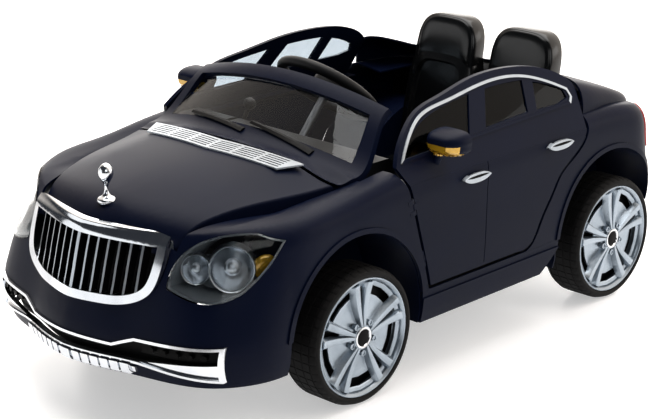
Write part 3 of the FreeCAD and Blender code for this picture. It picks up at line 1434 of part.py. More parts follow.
def dashboard():
    """The dashboard moulding, hollow below, with bearings for the column and the gear lever."""
    front, rear = firewall + s.wall + s.seam, firewall + s.wall + s.dash_depth
    shell = box((-s.dash_half, front, s.dash_bottom), (s.dash_half, rear, s.dash_top))
    edges = [edge for edge in shell.Edges
             if edge.BoundBox.YMin > rear - s.wall and edge.BoundBox.ZMin > s.dash_top - s.wall]
    shell = shell.makeFillet(s.dash_depth / 5, edges)
    block = 2 * s.lever_knob
    spans = ((-s.dash_half + s.seat_wall, -s.lever_offset - block), (-s.lever_offset + block, -block),
             (block, s.dash_half - s.seat_wall))
    pockets = [box((low, front + s.seat_wall, 0), (high, rear - s.seat_wall, s.dash_top - s.seat_wall))
               for low, high in spans]
    slot_half = s.lever_radius + s.loose_clearance
    slot = box((-s.lever_offset - slot_half, lever_foot.y - 2 * s.lever_knob, lever_foot.z - s.lever_knob),
               (-s.lever_offset + slot_half, far, far))
    pin = rod(s.lever_radius * pin_share + s.run_clearance,
              lever_foot - LEFT * block / 2, lever_foot + LEFT * block / 2)
    shape = shell.cut(Part.makeCompound(pockets)).cut(Part.makeCompound([slot, column_bore()])).cut(pin)
    return shape.cut(screen_block(s.seam))


def gear_lever():
    """The gear lever with its cross pin and its knob."""
    block = 2 * s.lever_knob
    end = lever_foot + lever_along * s.lever_length
    shape = rod(s.lever_radius, lever_foot, end).fuse(Part.makeSphere(s.lever_knob, end))
    eye = rod(s.lever_radius, lever_foot - LEFT * s.lever_radius, lever_foot + LEFT * s.lever_radius)
    pin_reach = LEFT * (block / 2 - s.seam)
    pin = rod(s.lever_radius * pin_share, lever_foot - pin_reach, lever_foot + pin_reach)
    return shape.fuse([eye, pin])


pedal_pivot = Vector(s.pedal_offset, -s.tub_front, floor_top + s.wall + s.pedal_thickness + s.seam * 2)


def pedal():
    """The accelerator pedal: a leaning plate on a barrel with its pivot pin."""
    half = s.pedal_width / 2
    plate = box((-half, -s.pedal_thickness / 2, 0), (half, s.pedal_thickness / 2, s.pedal_length))
    barrel = rod(s.pedal_thickness - s.seam, LEFT * -half, LEFT * half)
    pin = rod(s.pedal_pin_radius, LEFT * -(half + s.wall * 2), LEFT * (half + s.wall * 2))
    shape = plate.fuse([barrel, pin])
    shape.rotate(HERE, LEFT, s.pedal_lean)
    shape.translate(pedal_pivot)
    return shape


def pedal_bracket():
    """A plate on the floor with two ears for the pedal's pin."""
    half = s.pedal_width / 2
    low = floor_top + s.seam
    y, depth = pedal_pivot.y, 2 * s.pedal_thickness
    near, wide = half + s.loose_clearance, half + 2 * s.wall
    shape = box((s.pedal_offset - wide, y - depth, low), (s.pedal_offset + wide, y + depth, low + s.wall))
    for side in (-1, 1):
        span = sorted((side * near, side * wide))
        shape = shape.fuse(box((s.pedal_offset + span[0], y - s.pedal_thickness, low),
                               (s.pedal_offset + span[1], y + s.pedal_thickness,
                                pedal_pivot.z + s.pedal_thickness)))
    pin = rod(s.pedal_pin_radius + s.run_clearance,
              pedal_pivot - LEFT * s.pedal_width, pedal_pivot + LEFT * s.pedal_width)
    return shape.cut(pin)


def seat_base():
    """The bench under both seats, hollow over the battery, with a ledge for the seat backs."""
    half = s.seat_width / 2
    low = floor_top + s.seam
    ledge = s.seat_height - s.seat_ledge
    bench = box((-half, s.seat_front, low), (half, s.seat_rear, s.seat_height))
    edges = [edge for edge in bench.Edges if edge.BoundBox.ZMin > s.seat_height - s.wall]
    bench = bench.makeFillet(s.seat_wall * 2, edges)
    bench = bench.cut(box((-half, s.seat_back_foot - s.loose_clearance, ledge), (half, s.seat_rear, far)))
    return bench.cut(box((-half + s.seat_wall, s.seat_front + s.seat_wall, 0),
                         (half - s.seat_wall, s.seat_rear - s.seat_wall, ledge - s.seat_wall)))


# Each section: share of the height, of the lean, of the width and of the depth.
seat_section_shares = ((0, 0, 0.86, 1), (0.12, 0.13, 0.97, 0.97), (0.36, 0.4, 1.02, 0.9),
                       (0.58, 0.62, 1.1, 0.78), (0.71, 0.75, 0.96, 0.62), (0.78, 0.82, 0.86, 0.54),
                       (0.86, 0.9, 0.93, 0.56), (0.94, 0.96, 0.88, 0.5), (1, 1, 0.6, 0.2))
SEAT_POINTS = 16
seat_power_share = 0.5


def seat_loft(inset):
    """The outside of the left seat's back as a loft of rounded sections, moved in by inset."""
    wires = []
    low = s.seat_height - s.seat_ledge + s.seam
    for up, lean, wide, deep in seat_section_shares:
        y = s.seat_back_foot + s.seat_back_depth / 2 + lean * s.seat_back_lean
        z = low + up * (s.seat_back_top - inset - low)
        half_wide = wide * s.seat_back_width / 2 - inset
        half_deep = deep * s.seat_back_depth / 2 - inset
        points = []
        for step in range(SEAT_POINTS):
            angle = 2 * math.pi * step / SEAT_POINTS
            across, along = math.cos(angle), math.sin(angle)
            points.append(Vector(
                s.headrest_spacing / 2 + half_wide * math.copysign(abs(across) ** seat_power_share, across),
                y + half_deep * math.copysign(abs(along) ** seat_power_share, along), z))
        curve = Part.BSplineCurve()
        curve.interpolate(points, PeriodicFlag=True)
        wires.append(Part.Wire(curve.toShape()))
    return Part.makeLoft(wires, True, False)


def seat_back():
    """The left seat's back with its headrest, a shell that is open underneath."""
    return seat_loft(0).cut(seat_loft(s.wall))


# Where each wiper starts across the screen, how far it runs, and its lower edge at both ends.
wiper_start_shares = (0.6, -0.04)
wiper_run_share = 0.62
wiper_rise_shares = (0.03, 0.15)


def screen_spot(across, up):
    """A place on the windscreen in front view, by its shares across and up."""
    base, top = screen_rows[1], screen_rows[3]
    half, y, z, drop, bow = (a + up * (b - a) for a, b in zip(base, top))
    return across * half, z - drop * across ** 2


def wipers():
    """Two dark wipers that rest along the foot of the windscreen."""
    layer = between(screen_grid(screen_rows, -s.seam - s.wiper_width), screen_grid(screen_rows, -s.seam))
    blades = []
    for start in wiper_start_shares:
        middle, end = start - wiper_run_share / 2, start - wiper_run_share
        low, high = wiper_rise_shares
        path = [screen_spot(start, low), screen_spot(middle, (low + high) / 2), screen_spot(end, high)]
        raised = [(x, z + s.wiper_width) for x, z in reversed(path)]
        runs = [[path[0]], path[1:], [raised[0]], raised[1:]]
        cut = layer.common(front_prism(runs, -far / 2, far / 2))
        blades.append(max(cut.Solids, key=lambda piece: piece.Volume))
    return Part.makeCompound(blades)


def hinge_pins():
    """Two pins for each door."""
    pins = [rod(s.hinge_pin_radius, *hinge_span(share, 0, 1)) for share in hinge_place_shares]
    return pair(Part.makeCompound(pins))


# Plain pieces, made from primitives and sketches that are tied to the spreadsheet

FRONT_AXLE = "(sizes.front_overhang - sizes.overall_length / 2)"
REAR_AXLE = f"({FRONT_AXLE} + sizes.wheelbase)"
AXLE_HEIGHT = "(sizes.tyre_diameter / 2)"
FLOOR_TOP = f"({AXLE_HEIGHT} - sizes.beam_height / 2 - sizes.seam)"


def block(name, size, place):
    """A box whose length, width, height and corner are expressions of the sheet."""
    piece = doc.addObject("Part::Box", name)
    bind(piece, Length=size[0], Width=size[1], Height=size[2])
    return put(piece, place)


def bar(name, radius, length, place, along):
    """A cylinder along a direction, with its size and place as expressions of the sheet."""
    piece = doc.addObject("Part::Cylinder", name)
    piece.Placement.Rotation = FreeCAD.Rotation(UP, along)
    bind(piece, Radius=radius, Height=length)
    return put(piece, place)


def put(piece, place):
    """Tie an object's place to expressions of the sheet."""
    return bind(piece, Placement__Base__x=place[0], Placement__Base__y=place[1], Placement__Base__z=place[2])


def both_sides(name, piece):
    """A compound of a left piece and its reflection."""
    other = doc.addObject("Part::Mirroring", name + "_right")
    other.Source = piece
    other.Normal = LEFT
    group = doc.addObject("Part::Compound", name)
    group.Links = [piece, other]
    return finish(name, group)


def tyre(name, axle, turn):
    """A tyre turned from its section, on one axle and one side of the car."""
    inner, outer = "(sizes.wheel_face - sizes.tyre_width)", "sizes.wheel_face"
    bead, tread = "sizes.rim_diameter / 2 + sizes.seam", "sizes.tyre_diameter / 2"
    shoulder, edge = f"{tread} - sizes.tread_depth", f"{tread} - 4 * sizes.tread_depth"
    body = turned_body(name, (
        (inner, bead), (inner, edge), (f"{inner} + sizes.tread_width", shoulder),
        (f"{inner} + 3 * sizes.tread_width", tread), (f"{outer} - 3 * sizes.tread_width", tread),
        (f"{outer} - sizes.tread_width", shoulder), (outer, edge), (outer, bead)))
    body.Placement.Rotation = FreeCAD.Rotation(UP, turn)
    return finish(name, put(body, ("0", axle, AXLE_HEIGHT)))


LEFT_TURN, RIGHT_TURN = 0, 180


def running_gear():
    """Rear axle, gearboxes, motors, battery, control box and tyres."""
    finish("rear_axle", bar("rear_axle", "sizes.axle_radius", "2 * (sizes.wheel_face - sizes.axle_radius)",
                            ("sizes.axle_radius - sizes.wheel_face", REAR_AXLE, AXLE_HEIGHT), LEFT))
    case = block("gearbox_case", ("sizes.gearbox_width", "sizes.gearbox_length", "sizes.gearbox_height"),
                 ("sizes.gearbox_outer - sizes.gearbox_width", f"{REAR_AXLE} - sizes.gearbox_length / 2",
                  f"{AXLE_HEIGHT} - sizes.gearbox_height / 2"))
    shaft = bar("gearbox_bore", "sizes.axle_radius + sizes.run_clearance", "sizes.body_width",
                ("0", REAR_AXLE, AXLE_HEIGHT), LEFT)
    gearbox = doc.addObject("Part::Cut", "gearbox_left")
    gearbox.Base, gearbox.Tool = case, shaft
    both_sides("gearboxes", gearbox)
    motor = bar("motor_left", "sizes.motor_radius", "sizes.motor_length",
                ("sizes.gearbox_outer - sizes.gearbox_width / 2",
                 f"{REAR_AXLE} - sizes.gearbox_length / 2 - sizes.motor_length - sizes.seam",
                 AXLE_HEIGHT), REAR)
    both_sides("drive_motors", motor)
    on_floor = f"{FLOOR_TOP} + sizes.seam"
    finish("battery", block(
        "battery", ("sizes.battery_width", "sizes.battery_length", "sizes.battery_height"),
        ("-sizes.battery_width / 2", "sizes.seat_front + sizes.overrun", on_floor)))
    finish("control_box", block(
        "control_box", ("sizes.control_width", "sizes.control_length", "sizes.control_height"),
        ("sizes.battery_width / 2 + sizes.seat_wall", "sizes.seat_front + sizes.overrun / 2", on_floor)))
    tyre("front_left_tyre", FRONT_AXLE, LEFT_TURN)
    tyre("front_right_tyre", FRONT_AXLE, RIGHT_TURN)
    tyre("rear_left_tyre", REAR_AXLE, LEFT_TURN)
    tyre("rear_right_tyre", REAR_AXLE, RIGHT_TURN)


def sided(name, shape):
    """A left piece and its reflection as two sub-parts."""
    keep("left_" + name, shape)
    keep("right_" + name, mirrored(shape))


def shaped_pieces():
    """Every sub-part whose curved shape is worked out in code."""
    keep("front_body", front_body())
    keep("rear_body", rear_body())
    keep("side_sills", pair(sill()))
    keep("hood", hood())
    keep("rear_deck", whole(rear_deck()))
    keep("windscreen_frame", windscreen_frame())
    keep("windscreen_pane", windscreen_pane())
    keep("wipers", wipers())
    keep("hood_vent", hood_vent())
    keep("hood_ornament", hood_ornament())
    keep("grille_frame", grille_frame())
    keep("grille_bars", grille_bars())
    keep("grille_screens", grille_screens())
    keep("headlamp_housings", pair(headlamp_housing()))
    keep("headlamp_reflectors", headlamp_reflectors())
    keep("headlamp_lenses", pair(headlamp_lens()))
    keep("bumper_trim", bumper_trim())
    keep("bumper_teeth", bumper_teeth())
    keep("fog_lamps", pair(fog_lamps()))
    keep("tail_lamps", pair(tail_lamp()))
    keep("floor_pan", floor_pan())
    keep("dashboard", dashboard())
    keep("seat_base", seat_base())
    keep("seat_backs", pair(seat_back()))
    keep("front_axle_beam", axle_beam())
    keep("pedal_bracket", pedal_bracket())
    keep("hinge_pins", hinge_pins())
    sided("door", door())
    sided("window_panes", window_panes())
    sided("window_trim", window_trim())
    sided("door_handles", door_handles())
    sided("mirror", door_mirror())
    sided("mirror_lamp", mirror_lamp())
    keep("steering_wheel", steering_wheel())
    keep("steering_column", steering_column())
    keep("horn_button", horn_button())
    keep("tie_rod", tie_rod())
    sided("knuckle", knuckle())
    keep("accelerator_pedal", pedal())
    keep("gear_lever", gear_lever())
    wheel = rim()
    for name, y in (("front", front_axle), ("rear", rear_axle)):
        keep(name + "_left_rim", at_wheel(wheel, y, LEFT.x))
        keep(name + "_right_rim", at_wheel(wheel, y, -LEFT.x))


def write_parts():
    """Check every object, then write one file for each sub-part."""
    doc.recompute()
    for piece in doc.Objects:
        wrong = [word for word in piece.State if word in ("Invalid", "Error")]
        if wrong:
            raise RuntimeError(f"{piece.Name} is {wrong}")
    for piece in made:
        if piece.Shape.isNull() or not piece.Shape.isValid() or not piece.Shape.Solids:
            raise RuntimeError(f"{piece.Label} has no valid shape")
    os.makedirs("parts", exist_ok=True)
    for piece in made:
        piece.Shape.exportStep(f"parts/{piece.Label}.step")


running_gear()
shaped_pieces()
write_parts()
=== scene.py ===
# %% [markdown]
# # A child's electric ride-on car in a photo studio
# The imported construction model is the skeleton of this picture: every solid is already in its place and
# already rides on the body that moves it. This lesson dresses it. It sets the camera first, then mixes a
# finish for each real material and lights the studio, then smooths the moulded panels and models the pieces
# that need more than the construction gives, such as the tyres, the wheels, the lamps and the seats.

# %% Load the frame
import json
import math

import bpy
from mathutils import Matrix, Vector

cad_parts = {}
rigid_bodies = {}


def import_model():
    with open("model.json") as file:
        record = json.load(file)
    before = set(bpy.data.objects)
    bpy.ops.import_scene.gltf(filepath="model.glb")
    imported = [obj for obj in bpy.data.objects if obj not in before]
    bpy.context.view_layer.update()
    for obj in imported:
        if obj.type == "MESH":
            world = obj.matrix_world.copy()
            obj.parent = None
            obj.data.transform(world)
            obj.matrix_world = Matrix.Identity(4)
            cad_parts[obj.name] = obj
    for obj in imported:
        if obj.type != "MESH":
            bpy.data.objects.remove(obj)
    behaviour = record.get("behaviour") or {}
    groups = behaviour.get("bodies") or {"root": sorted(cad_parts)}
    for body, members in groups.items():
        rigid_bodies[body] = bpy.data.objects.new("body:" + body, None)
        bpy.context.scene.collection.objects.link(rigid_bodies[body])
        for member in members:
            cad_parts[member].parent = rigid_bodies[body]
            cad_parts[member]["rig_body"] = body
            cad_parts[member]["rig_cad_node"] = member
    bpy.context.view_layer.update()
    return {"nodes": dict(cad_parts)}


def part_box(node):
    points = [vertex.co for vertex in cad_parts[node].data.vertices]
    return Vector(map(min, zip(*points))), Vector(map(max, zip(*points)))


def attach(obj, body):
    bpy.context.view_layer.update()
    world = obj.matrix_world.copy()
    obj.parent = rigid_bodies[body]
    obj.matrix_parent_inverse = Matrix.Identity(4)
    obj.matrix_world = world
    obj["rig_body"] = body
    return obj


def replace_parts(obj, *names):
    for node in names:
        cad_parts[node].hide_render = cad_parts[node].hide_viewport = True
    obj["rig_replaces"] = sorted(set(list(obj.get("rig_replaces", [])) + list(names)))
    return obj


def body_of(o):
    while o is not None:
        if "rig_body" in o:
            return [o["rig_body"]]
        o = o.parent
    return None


MM = 0.001

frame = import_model()

# %% [markdown]
# ## The camera
# The picture was taken from the front left, above the hood, with a long lens. The numbers below come from
# fitting a pinhole camera to the wheels and to points that mirror each other across the middle of the car.
# A camera's shift moves the picture without turning the camera, so upright lines keep their slope.

# %% Camera
IMAGE_WIDTH, IMAGE_HEIGHT = 650, 419
FOCAL_PIXELS = 1844
MIDDLE_PIXEL = (331.8, 207.3)
CAMERA_PLACE = Vector((2.505, -2.597, 1.426))
CAMERA_YAW, CAMERA_PITCH = math.radians(44.02), math.radians(18.19)
SENSOR_MM, CLIP_END = 36, 100

to_right = Vector((math.cos(CAMERA_YAW), math.sin(CAMERA_YAW), 0))
to_back = Vector((math.sin(CAMERA_YAW) * math.cos(CAMERA_PITCH),
                  -math.cos(CAMERA_YAW) * math.cos(CAMERA_PITCH), math.sin(CAMERA_PITCH)))
turn = Matrix((to_right, to_back.cross(to_right), to_back)).transposed().to_4x4()

bpy.ops.object.camera_add()
camera = bpy.context.object
camera.name = "photo_camera"
camera.matrix_world = Matrix.Translation(CAMERA_PLACE) @ turn
camera.data.sensor_width = SENSOR_MM
camera.data.lens = SENSOR_MM * FOCAL_PIXELS / IMAGE_WIDTH
camera.data.shift_x = (IMAGE_WIDTH / 2 - MIDDLE_PIXEL[0]) / IMAGE_WIDTH
camera.data.shift_y = (MIDDLE_PIXEL[1] - IMAGE_HEIGHT / 2) / IMAGE_WIDTH
camera.data.clip_end = CLIP_END
bpy.context.scene.camera = camera
bpy.context.scene.view_settings.view_transform = "Standard"
print("camera: lens", round(camera.data.lens, 1), "mm")

# %% [markdown]
# ## Finishes
# Every finish starts from what the real surface is made of. Colours are written as the hex values a screen
# shows, and one function turns them into the linear numbers that a shader wants. A second function adds a
# node: settings go to its properties or sockets, links join its sockets to what feeds them.

# %% Helpers for the finishes
def linear(text):
    """A screen colour such as #1A2B3C as the linear colour a shader wants."""
    parts = [int(text[place:place + 2], 16) / 255 for place in (1, 3, 5)]
    return tuple(p / 12.92 if p <= 0.04045 else ((p + 0.055) / 1.055) ** 2.4 for p in parts) + (1.0,)


def per_mm(size):
    """The texture scale at which one feature is about this many millimetres wide."""
    return 1000 / size


def add_node(tree, kind, settings=None, links=None):
    """Adds a node, sets its properties and sockets, and links its sockets to the outputs given."""
    node = tree.nodes.new(kind)
    for name, value in (settings or {}).items():
        if isinstance(name, int) or name in node.inputs:
            node.inputs[name].default_value = value
        else:
            setattr(node, name, value)
    for name, source in (links or {}).items():
        tree.links.new(source, node.inputs[name])
    return node


def noise(tree, place, size_mm, detail):
    """A soft 0 to 1 pattern with features of about this width."""
    settings = {"Scale": per_mm(size_mm), "Detail": detail}
    return add_node(tree, "ShaderNodeTexNoise", settings, {"Vector": place}).outputs["Fac"]


def cells(tree, place, size_mm):
    """A pattern of pebbled cells of about this width."""
    node = add_node(tree, "ShaderNodeTexVoronoi", {"Scale": per_mm(size_mm)}, {"Vector": place})
    return node.outputs["Distance"]


def start_finish(name, sockets):
    """A new material, its node tree, its shader and the object coordinates to hang patterns on."""
    material = bpy.data.materials.new(name)
    material.use_nodes = True
    tree = material.node_tree
    shader = tree.nodes["Principled BSDF"]
    for socket, value in sockets.items():
        shader.inputs[socket].default_value = value
    return material, tree, shader, add_node(tree, "ShaderNodeTexCoord").outputs["Object"]


def vary(tree, shader, socket, source, low, high):
    """Lets a 0 to 1 pattern move a shader's number between two values."""
    between = add_node(tree, "ShaderNodeMapRange", {"To Min": low, "To Max": high}, {"Value": source})
    tree.links.new(between.outputs["Result"], shader.inputs[socket])


def tint(tree, shader, source, first, second):
    """Lets a 0 to 1 pattern move the base colour between two hex colours."""
    settings = {"data_type": "RGBA", 6: linear(first), 7: linear(second)}
    mixer = add_node(tree, "ShaderNodeMix", settings, {0: source})
    tree.links.new(mixer.outputs[2], shader.inputs["Base Color"])


def emboss(tree, shader, source, depth_mm, strength):
    """Turns a pattern into relief of this depth on the shader's normal."""
    settings = {"Distance": depth_mm / 1000, "Strength": strength}
    relief = add_node(tree, "ShaderNodeBump", settings, {"Height": source})
    tree.links.new(relief.outputs["Normal"], shader.inputs["Normal"])


finishes = {}

# %% [markdown]
# ### Satin moulded ABS
# The body panels are injection-moulded ABS in a navy so dark that it is nearly black. The mould leaves a
# soft satin: a broad, weak highlight with a very fine eggshell relief. The reflection is kept weak, so that
# only the upper faces, which mirror the light overhead, turn charcoal. The eggshell is really about 0.4 mm
# wide and is drawn at 1.4 mm so that it shows.

# %% Body and trim plastics
EGGSHELL_MM, PATCH_MM = 1.4, 140
# The dark trim colour is the real black plastic of the trim, and it also serves as painted shade on the
# grille bar flanks and in the handle slots.
for name, deep, pale, gloss in (("body", "#04091A", "#080F24", (0.36, 0.44)),
                                ("dark_trim", "#030304", "#060607", (0.40, 0.52))):
    material, tree, shader, place = start_finish(
        "satin_moulded_abs_" + name, {"IOR": 1.53, "Specular IOR Level": 0.05})
    patches = noise(tree, place, PATCH_MM, detail=3.0)
    tint(tree, shader, patches, deep, pale)
    vary(tree, shader, "Roughness", patches, *gloss)
    emboss(tree, shader, noise(tree, place, EGGSHELL_MM, detail=2.0), depth_mm=0.12, strength=0.18)
    finishes[name] = material
print("moulded finishes:", sorted(finishes))

# %% [markdown]
# ### Bright plating and silver paint
# The grille surround, the bumper trim and the finial are vacuum-plated plastic: a mirror with a trace of
# haze and a barely wavy surface. The hood vent, the grille bars, the window trim and the handles are plated
# in a duller satin. The wheels are silver too, in a metallic paint over plastic.

# %% Plated and painted plastics
WAVE_MM, FLAKE_MM = 26, 1.1
material, tree, shader, place = start_finish("bright_plated_abs", {"Metallic": 1.0})
waves = noise(tree, place, WAVE_MM, detail=2.0)
tint(tree, shader, waves, "#C9CDD2", "#E3E6EA")
vary(tree, shader, "Roughness", waves, 0.07, 0.15)
emboss(tree, shader, waves, depth_mm=0.3, strength=0.10)
finishes["chrome"] = material

material, tree, shader, place = start_finish("satin_plated_abs", {"Metallic": 0.9})
waves = noise(tree, place, WAVE_MM, detail=2.0)
tint(tree, shader, waves, "#8E959C", "#A8AFB6")
vary(tree, shader, "Roughness", waves, 0.26, 0.36)
finishes["bright"] = material

material, tree, shader, place = start_finish(
    "silver_painted_abs", {"Metallic": 0.88, "Coat Weight": 0.35, "Coat Roughness": 0.12})
tint(tree, shader, noise(tree, place, PATCH_MM / 3, detail=2.0), "#7C8791", "#9DA8B3")
vary(tree, shader, "Roughness", cells(tree, place, FLAKE_MM), 0.24, 0.36)
finishes["rim"] = material

# %% [markdown]
# ### Clear, smoked and coloured lenses
# The windscreen and the lamp covers are clear polycarbonate and the side windows are smoked. The near windows
# are painted darker, as painted shade, and the far ones lighter, as painted light. Their moulded surface is
# glossy with a very slight waviness. The red and amber lamps are coloured lenses, the amber ones with a
# bright back that shows as a metallic sheen.

# %% Lenses
for name, first, second, rough, sockets in (
        ("clear", "#F2F6F8", "#FAFCFD", (0.0, 0.01), {"IOR": 1.25, "Transmission Weight": 1.0}),
        # The two side-window lenses are one smoked plastic: the darker one is painted shade for the near
        # windows, the lighter one is painted light for the far windows.
        ("tinted", "#8D98A1", "#9BA6AE", (0.0, 0.01), {"IOR": 1.15, "Transmission Weight": 1.0}),
        ("near_window_painted_shade", "#343B41", "#3D454B", (0.0, 0.01), {"IOR": 1.15, "Transmission Weight": 1.0}),
        ("red_lamp", "#7C0408", "#9A0A0C", (0.08, 0.14),
         {"IOR": 1.2, "Transmission Weight": 0.15, "Coat Weight": 0.08, "Coat Roughness": 0.04}),
        ("amber_lamp", "#A87A0C", "#D2A626", (0.12, 0.22),
         {"IOR": 1.49, "Metallic": 0.45, "Coat Weight": 1.0, "Coat Roughness": 0.05})):
    material, tree, shader, place = start_finish("lens_" + name, sockets)
    ripple = noise(tree, place, WAVE_MM, detail=1.0)
    tint(tree, shader, ripple, first, second)
    vary(tree, shader, "Roughness", ripple, *rough)
    emboss(tree, shader, ripple, depth_mm=0.2, strength=0.02)
    finishes[name] = material
print("lenses:", [name for name in finishes if "lamp" in name or name in ("clear", "tinted", "near_window_painted_shade")])

# %% [markdown]
# ### Tyre, seat, cabin, case and steel
# The tyres are foamed EVA with a dry, powdery look. The seats are glossy blow-moulded polyethylene with a
# trace of leather grain, the cabin parts are faintly grained polypropylene, the lamp buckets are lacquered
# grey, and the hidden drive parts are plain black cases and drawn steel. Grain is really about 0.5 mm and
# is drawn at 1.6 to 2.4 mm.

# %% Grained plastics, tyre and steel
WEAK_SHINE, PLAIN_SHINE = 0.2, 0.4
for name, common, first, second, rough, shine, grain_mm, depth_mm in (
        ("tyre", "foamed_eva", "#020203", "#050506", (0.66, 0.84), WEAK_SHINE, 1.6, 0.20),
        ("seat", "glossy_blow_moulded_pe", "#050607", "#0A0B0C", (0.17, 0.26), PLAIN_SHINE, 2.4, 0.02),
        ("inside", "grained_pp", "#08090A", "#0E0F12", (0.46, 0.60), WEAK_SHINE, 1.8, 0.006),
        ("case", "plain_black_abs", "#131416", "#1C1D20", (0.40, 0.55), PLAIN_SHINE, 2.0, 0.15),
        ("lamp_case", "grey_lacquered_abs", "#4A4F54", "#5C6268", (0.28, 0.40), PLAIN_SHINE, 2.0, 0.10)):
    material, tree, shader, place = start_finish(common, {"IOR": 1.5, "Specular IOR Level": shine})
    patches = noise(tree, place, PATCH_MM / 2, detail=3.0)
    tint(tree, shader, patches, first, second)
    vary(tree, shader, "Roughness", patches, *rough)
    emboss(tree, shader, cells(tree, place, grain_mm), depth_mm, strength=0.22)
    finishes[name] = material

STREAK_LONG_MM, STREAK_WIDE_MM = 60, 1.2
stretch = (per_mm(STREAK_LONG_MM), per_mm(STREAK_WIDE_MM), per_mm(STREAK_WIDE_MM))
material, tree, shader, place = start_finish("drawn_steel", {"Metallic": 1.0})
streaks = add_node(tree, "ShaderNodeMapping", {"Scale": stretch}, {"Vector": place}).outputs["Vector"]
drawn = add_node(tree, "ShaderNodeTexNoise", {"Scale": 1.0, "Detail": 2.0}, {"Vector": streaks})
tint(tree, shader, drawn.outputs["Fac"], "#8B8F94", "#B2B6BA")
vary(tree, shader, "Roughness", drawn.outputs["Fac"], 0.25, 0.42)
finishes["steel"] = material
print("finishes:", len(finishes))

# %% [markdown]
# ## Studio
# A white floor lit from a large soft box overhead. The sky of the studio is bright behind the car and dark
# in front of it, which keeps the windscreen clear and gives the plating something dark to mirror. The floor
# catches the shadow with its own pale colour; towards the camera, and in mirrors and glass, a little glow
# lifts it to the white of the picture.

# %% Floor
FLOOR_RADIUS, FLOOR_CORNERS, FLOOR_GLOW = 60, 96, 0.44
bpy.ops.object.select_all(action="DESELECT")
bpy.ops.mesh.primitive_circle_add(vertices=FLOOR_CORNERS, radius=FLOOR_RADIUS, fill_type="NGON",
                                  location=(0, 0, 0))
floor = bpy.context.object
floor.name = "studio_floor"

material, tree, shader, place = start_finish(
    "pale_studio_floor", {"Base Color": linear("#E4E5E7"), "Roughness": 0.32, "Specular IOR Level": 0.35})
rays = add_node(tree, "ShaderNodeLightPath")
seen = rays.outputs["Is Camera Ray"]
for kind in ("Is Glossy Ray", "Is Transmission Ray"):
    either = add_node(tree, "ShaderNodeMath", {"operation": "MAXIMUM"}, {0: seen, 1: rays.outputs[kind]})
    seen = either.outputs["Value"]
glow = add_node(tree, "ShaderNodeEmission", {"Color": linear("#FFFFFF")})
lift = add_node(tree, "ShaderNodeMath", {"operation": "MULTIPLY", 1: FLOOR_GLOW}, {0: seen})
tree.links.new(lift.outputs["Value"], glow.inputs["Strength"])
both = add_node(tree, "ShaderNodeAddShader", None, {0: shader.outputs["BSDF"], 1: glow.outputs["Emission"]})
tree.links.new(both.outputs["Shader"], tree.nodes["Material Output"].inputs["Surface"])
floor.data.materials.append(material)

# %% Sky and lamps
BRIGHT_WAY, SKY_STRENGTH = Vector((-0.10, 0.86, 0.50)), 1.8
SKY_STOPS = ((0.05, "#26282C"), (0.55, "#FAEFE4"))
world = bpy.data.worlds.new("studio_sky")
bpy.context.scene.world = world
world.use_nodes = True
tree = world.node_tree
way = add_node(tree, "ShaderNodeTexCoord")
behind = add_node(tree, "ShaderNodeVectorMath", {"operation": "DOT_PRODUCT", 1: BRIGHT_WAY},
                  {0: way.outputs["Generated"]})
sky = add_node(tree, "ShaderNodeValToRGB", None, {"Fac": behind.outputs["Value"]})
for stop, (position, colour) in zip(sky.color_ramp.elements, SKY_STOPS):
    stop.color = linear(colour)
    stop.position = position
tree.links.new(sky.outputs["Color"], tree.nodes["Background"].inputs["Color"])
tree.nodes["Background"].inputs["Strength"].default_value = SKY_STRENGTH

# Each soft box has its place, the point that it faces, its width and height, all in metres, and its watts.
SOFT_BOXES = (("overhead_box", (-0.4, 0.4, 3.0), (0.0, 0.0, 0.2), (3.0, 3.0), 105),
              ("back_wall", (-3.4, 3.2, 1.4), (0.0, 0.0, 0.3), (5.0, 2.0), 70),
              ("side_wall", (3.6, 3.4, 1.5), (0.2, 0.2, 0.3), (3.0, 1.4), 24),
              ("front_wall", (-2.6, -3.6, 0.9), (0.0, -0.5, 0.3), (4.4, 1.9), 34),
              ("camera_box", (3.4, -2.6, 2.4), (0.2, -0.4, 0.2), (2.6, 1.6), 22))
for name, place, aim, size, watts in SOFT_BOXES:
    bpy.ops.object.light_add(type="AREA", location=place)
    lamp = bpy.context.object
    lamp.name = name
    lamp.data.shape = "RECTANGLE"
    lamp.data.size, lamp.data.size_y = size
    lamp.data.energy = watts
    lamp.visible_camera = False
    lamp.rotation_euler = (Vector(aim) - Vector(place)).to_track_quat("-Z", "Y").to_euler()
print("studio:", floor.name, "and", len(SOFT_BOXES), "soft boxes")

# %% [markdown]
# ## Moulded pieces
# The construction model's panels have the right shape, but each is a heap of loose flat triangles. A copy
# is merged into one skin and shaded smooth, except across real edges, and its normals are weighted by face
# area so that long flat panels stay flat right up to their rounded rims. The copy stands for the node.

# %% Helpers for pieces
MERGE = 2e-5
SKIN_ANGLE, JOIN_ANGLE = math.radians(32), math.radians(35)


def only(piece):
    """Makes one object the only selected and active one."""
    bpy.ops.object.select_all(action="DESELECT")
    piece.select_set(True)
    bpy.context.view_layer.objects.active = piece


def pick_faces(piece, test):
    """Enters edit mode with just the faces selected that pass a test."""
    for part in (piece.data.vertices, piece.data.edges):
        part.foreach_set("select", [False] * len(part))
    for panel in piece.data.polygons:
        panel.select = bool(test(panel))
    bpy.context.tool_settings.mesh_select_mode = (False, False, True)
    bpy.ops.object.mode_set(mode="EDIT")


def split_off(piece, test, name):
    """Takes the faces that pass a test off a piece, as a piece of their own."""
    only(piece)
    pick_faces(piece, test)
    bpy.ops.mesh.separate(type="SELECTED")
    bpy.ops.object.mode_set(mode="OBJECT")
    part = next(other for other in bpy.context.selected_objects if other != piece)
    part.name = name
    return part


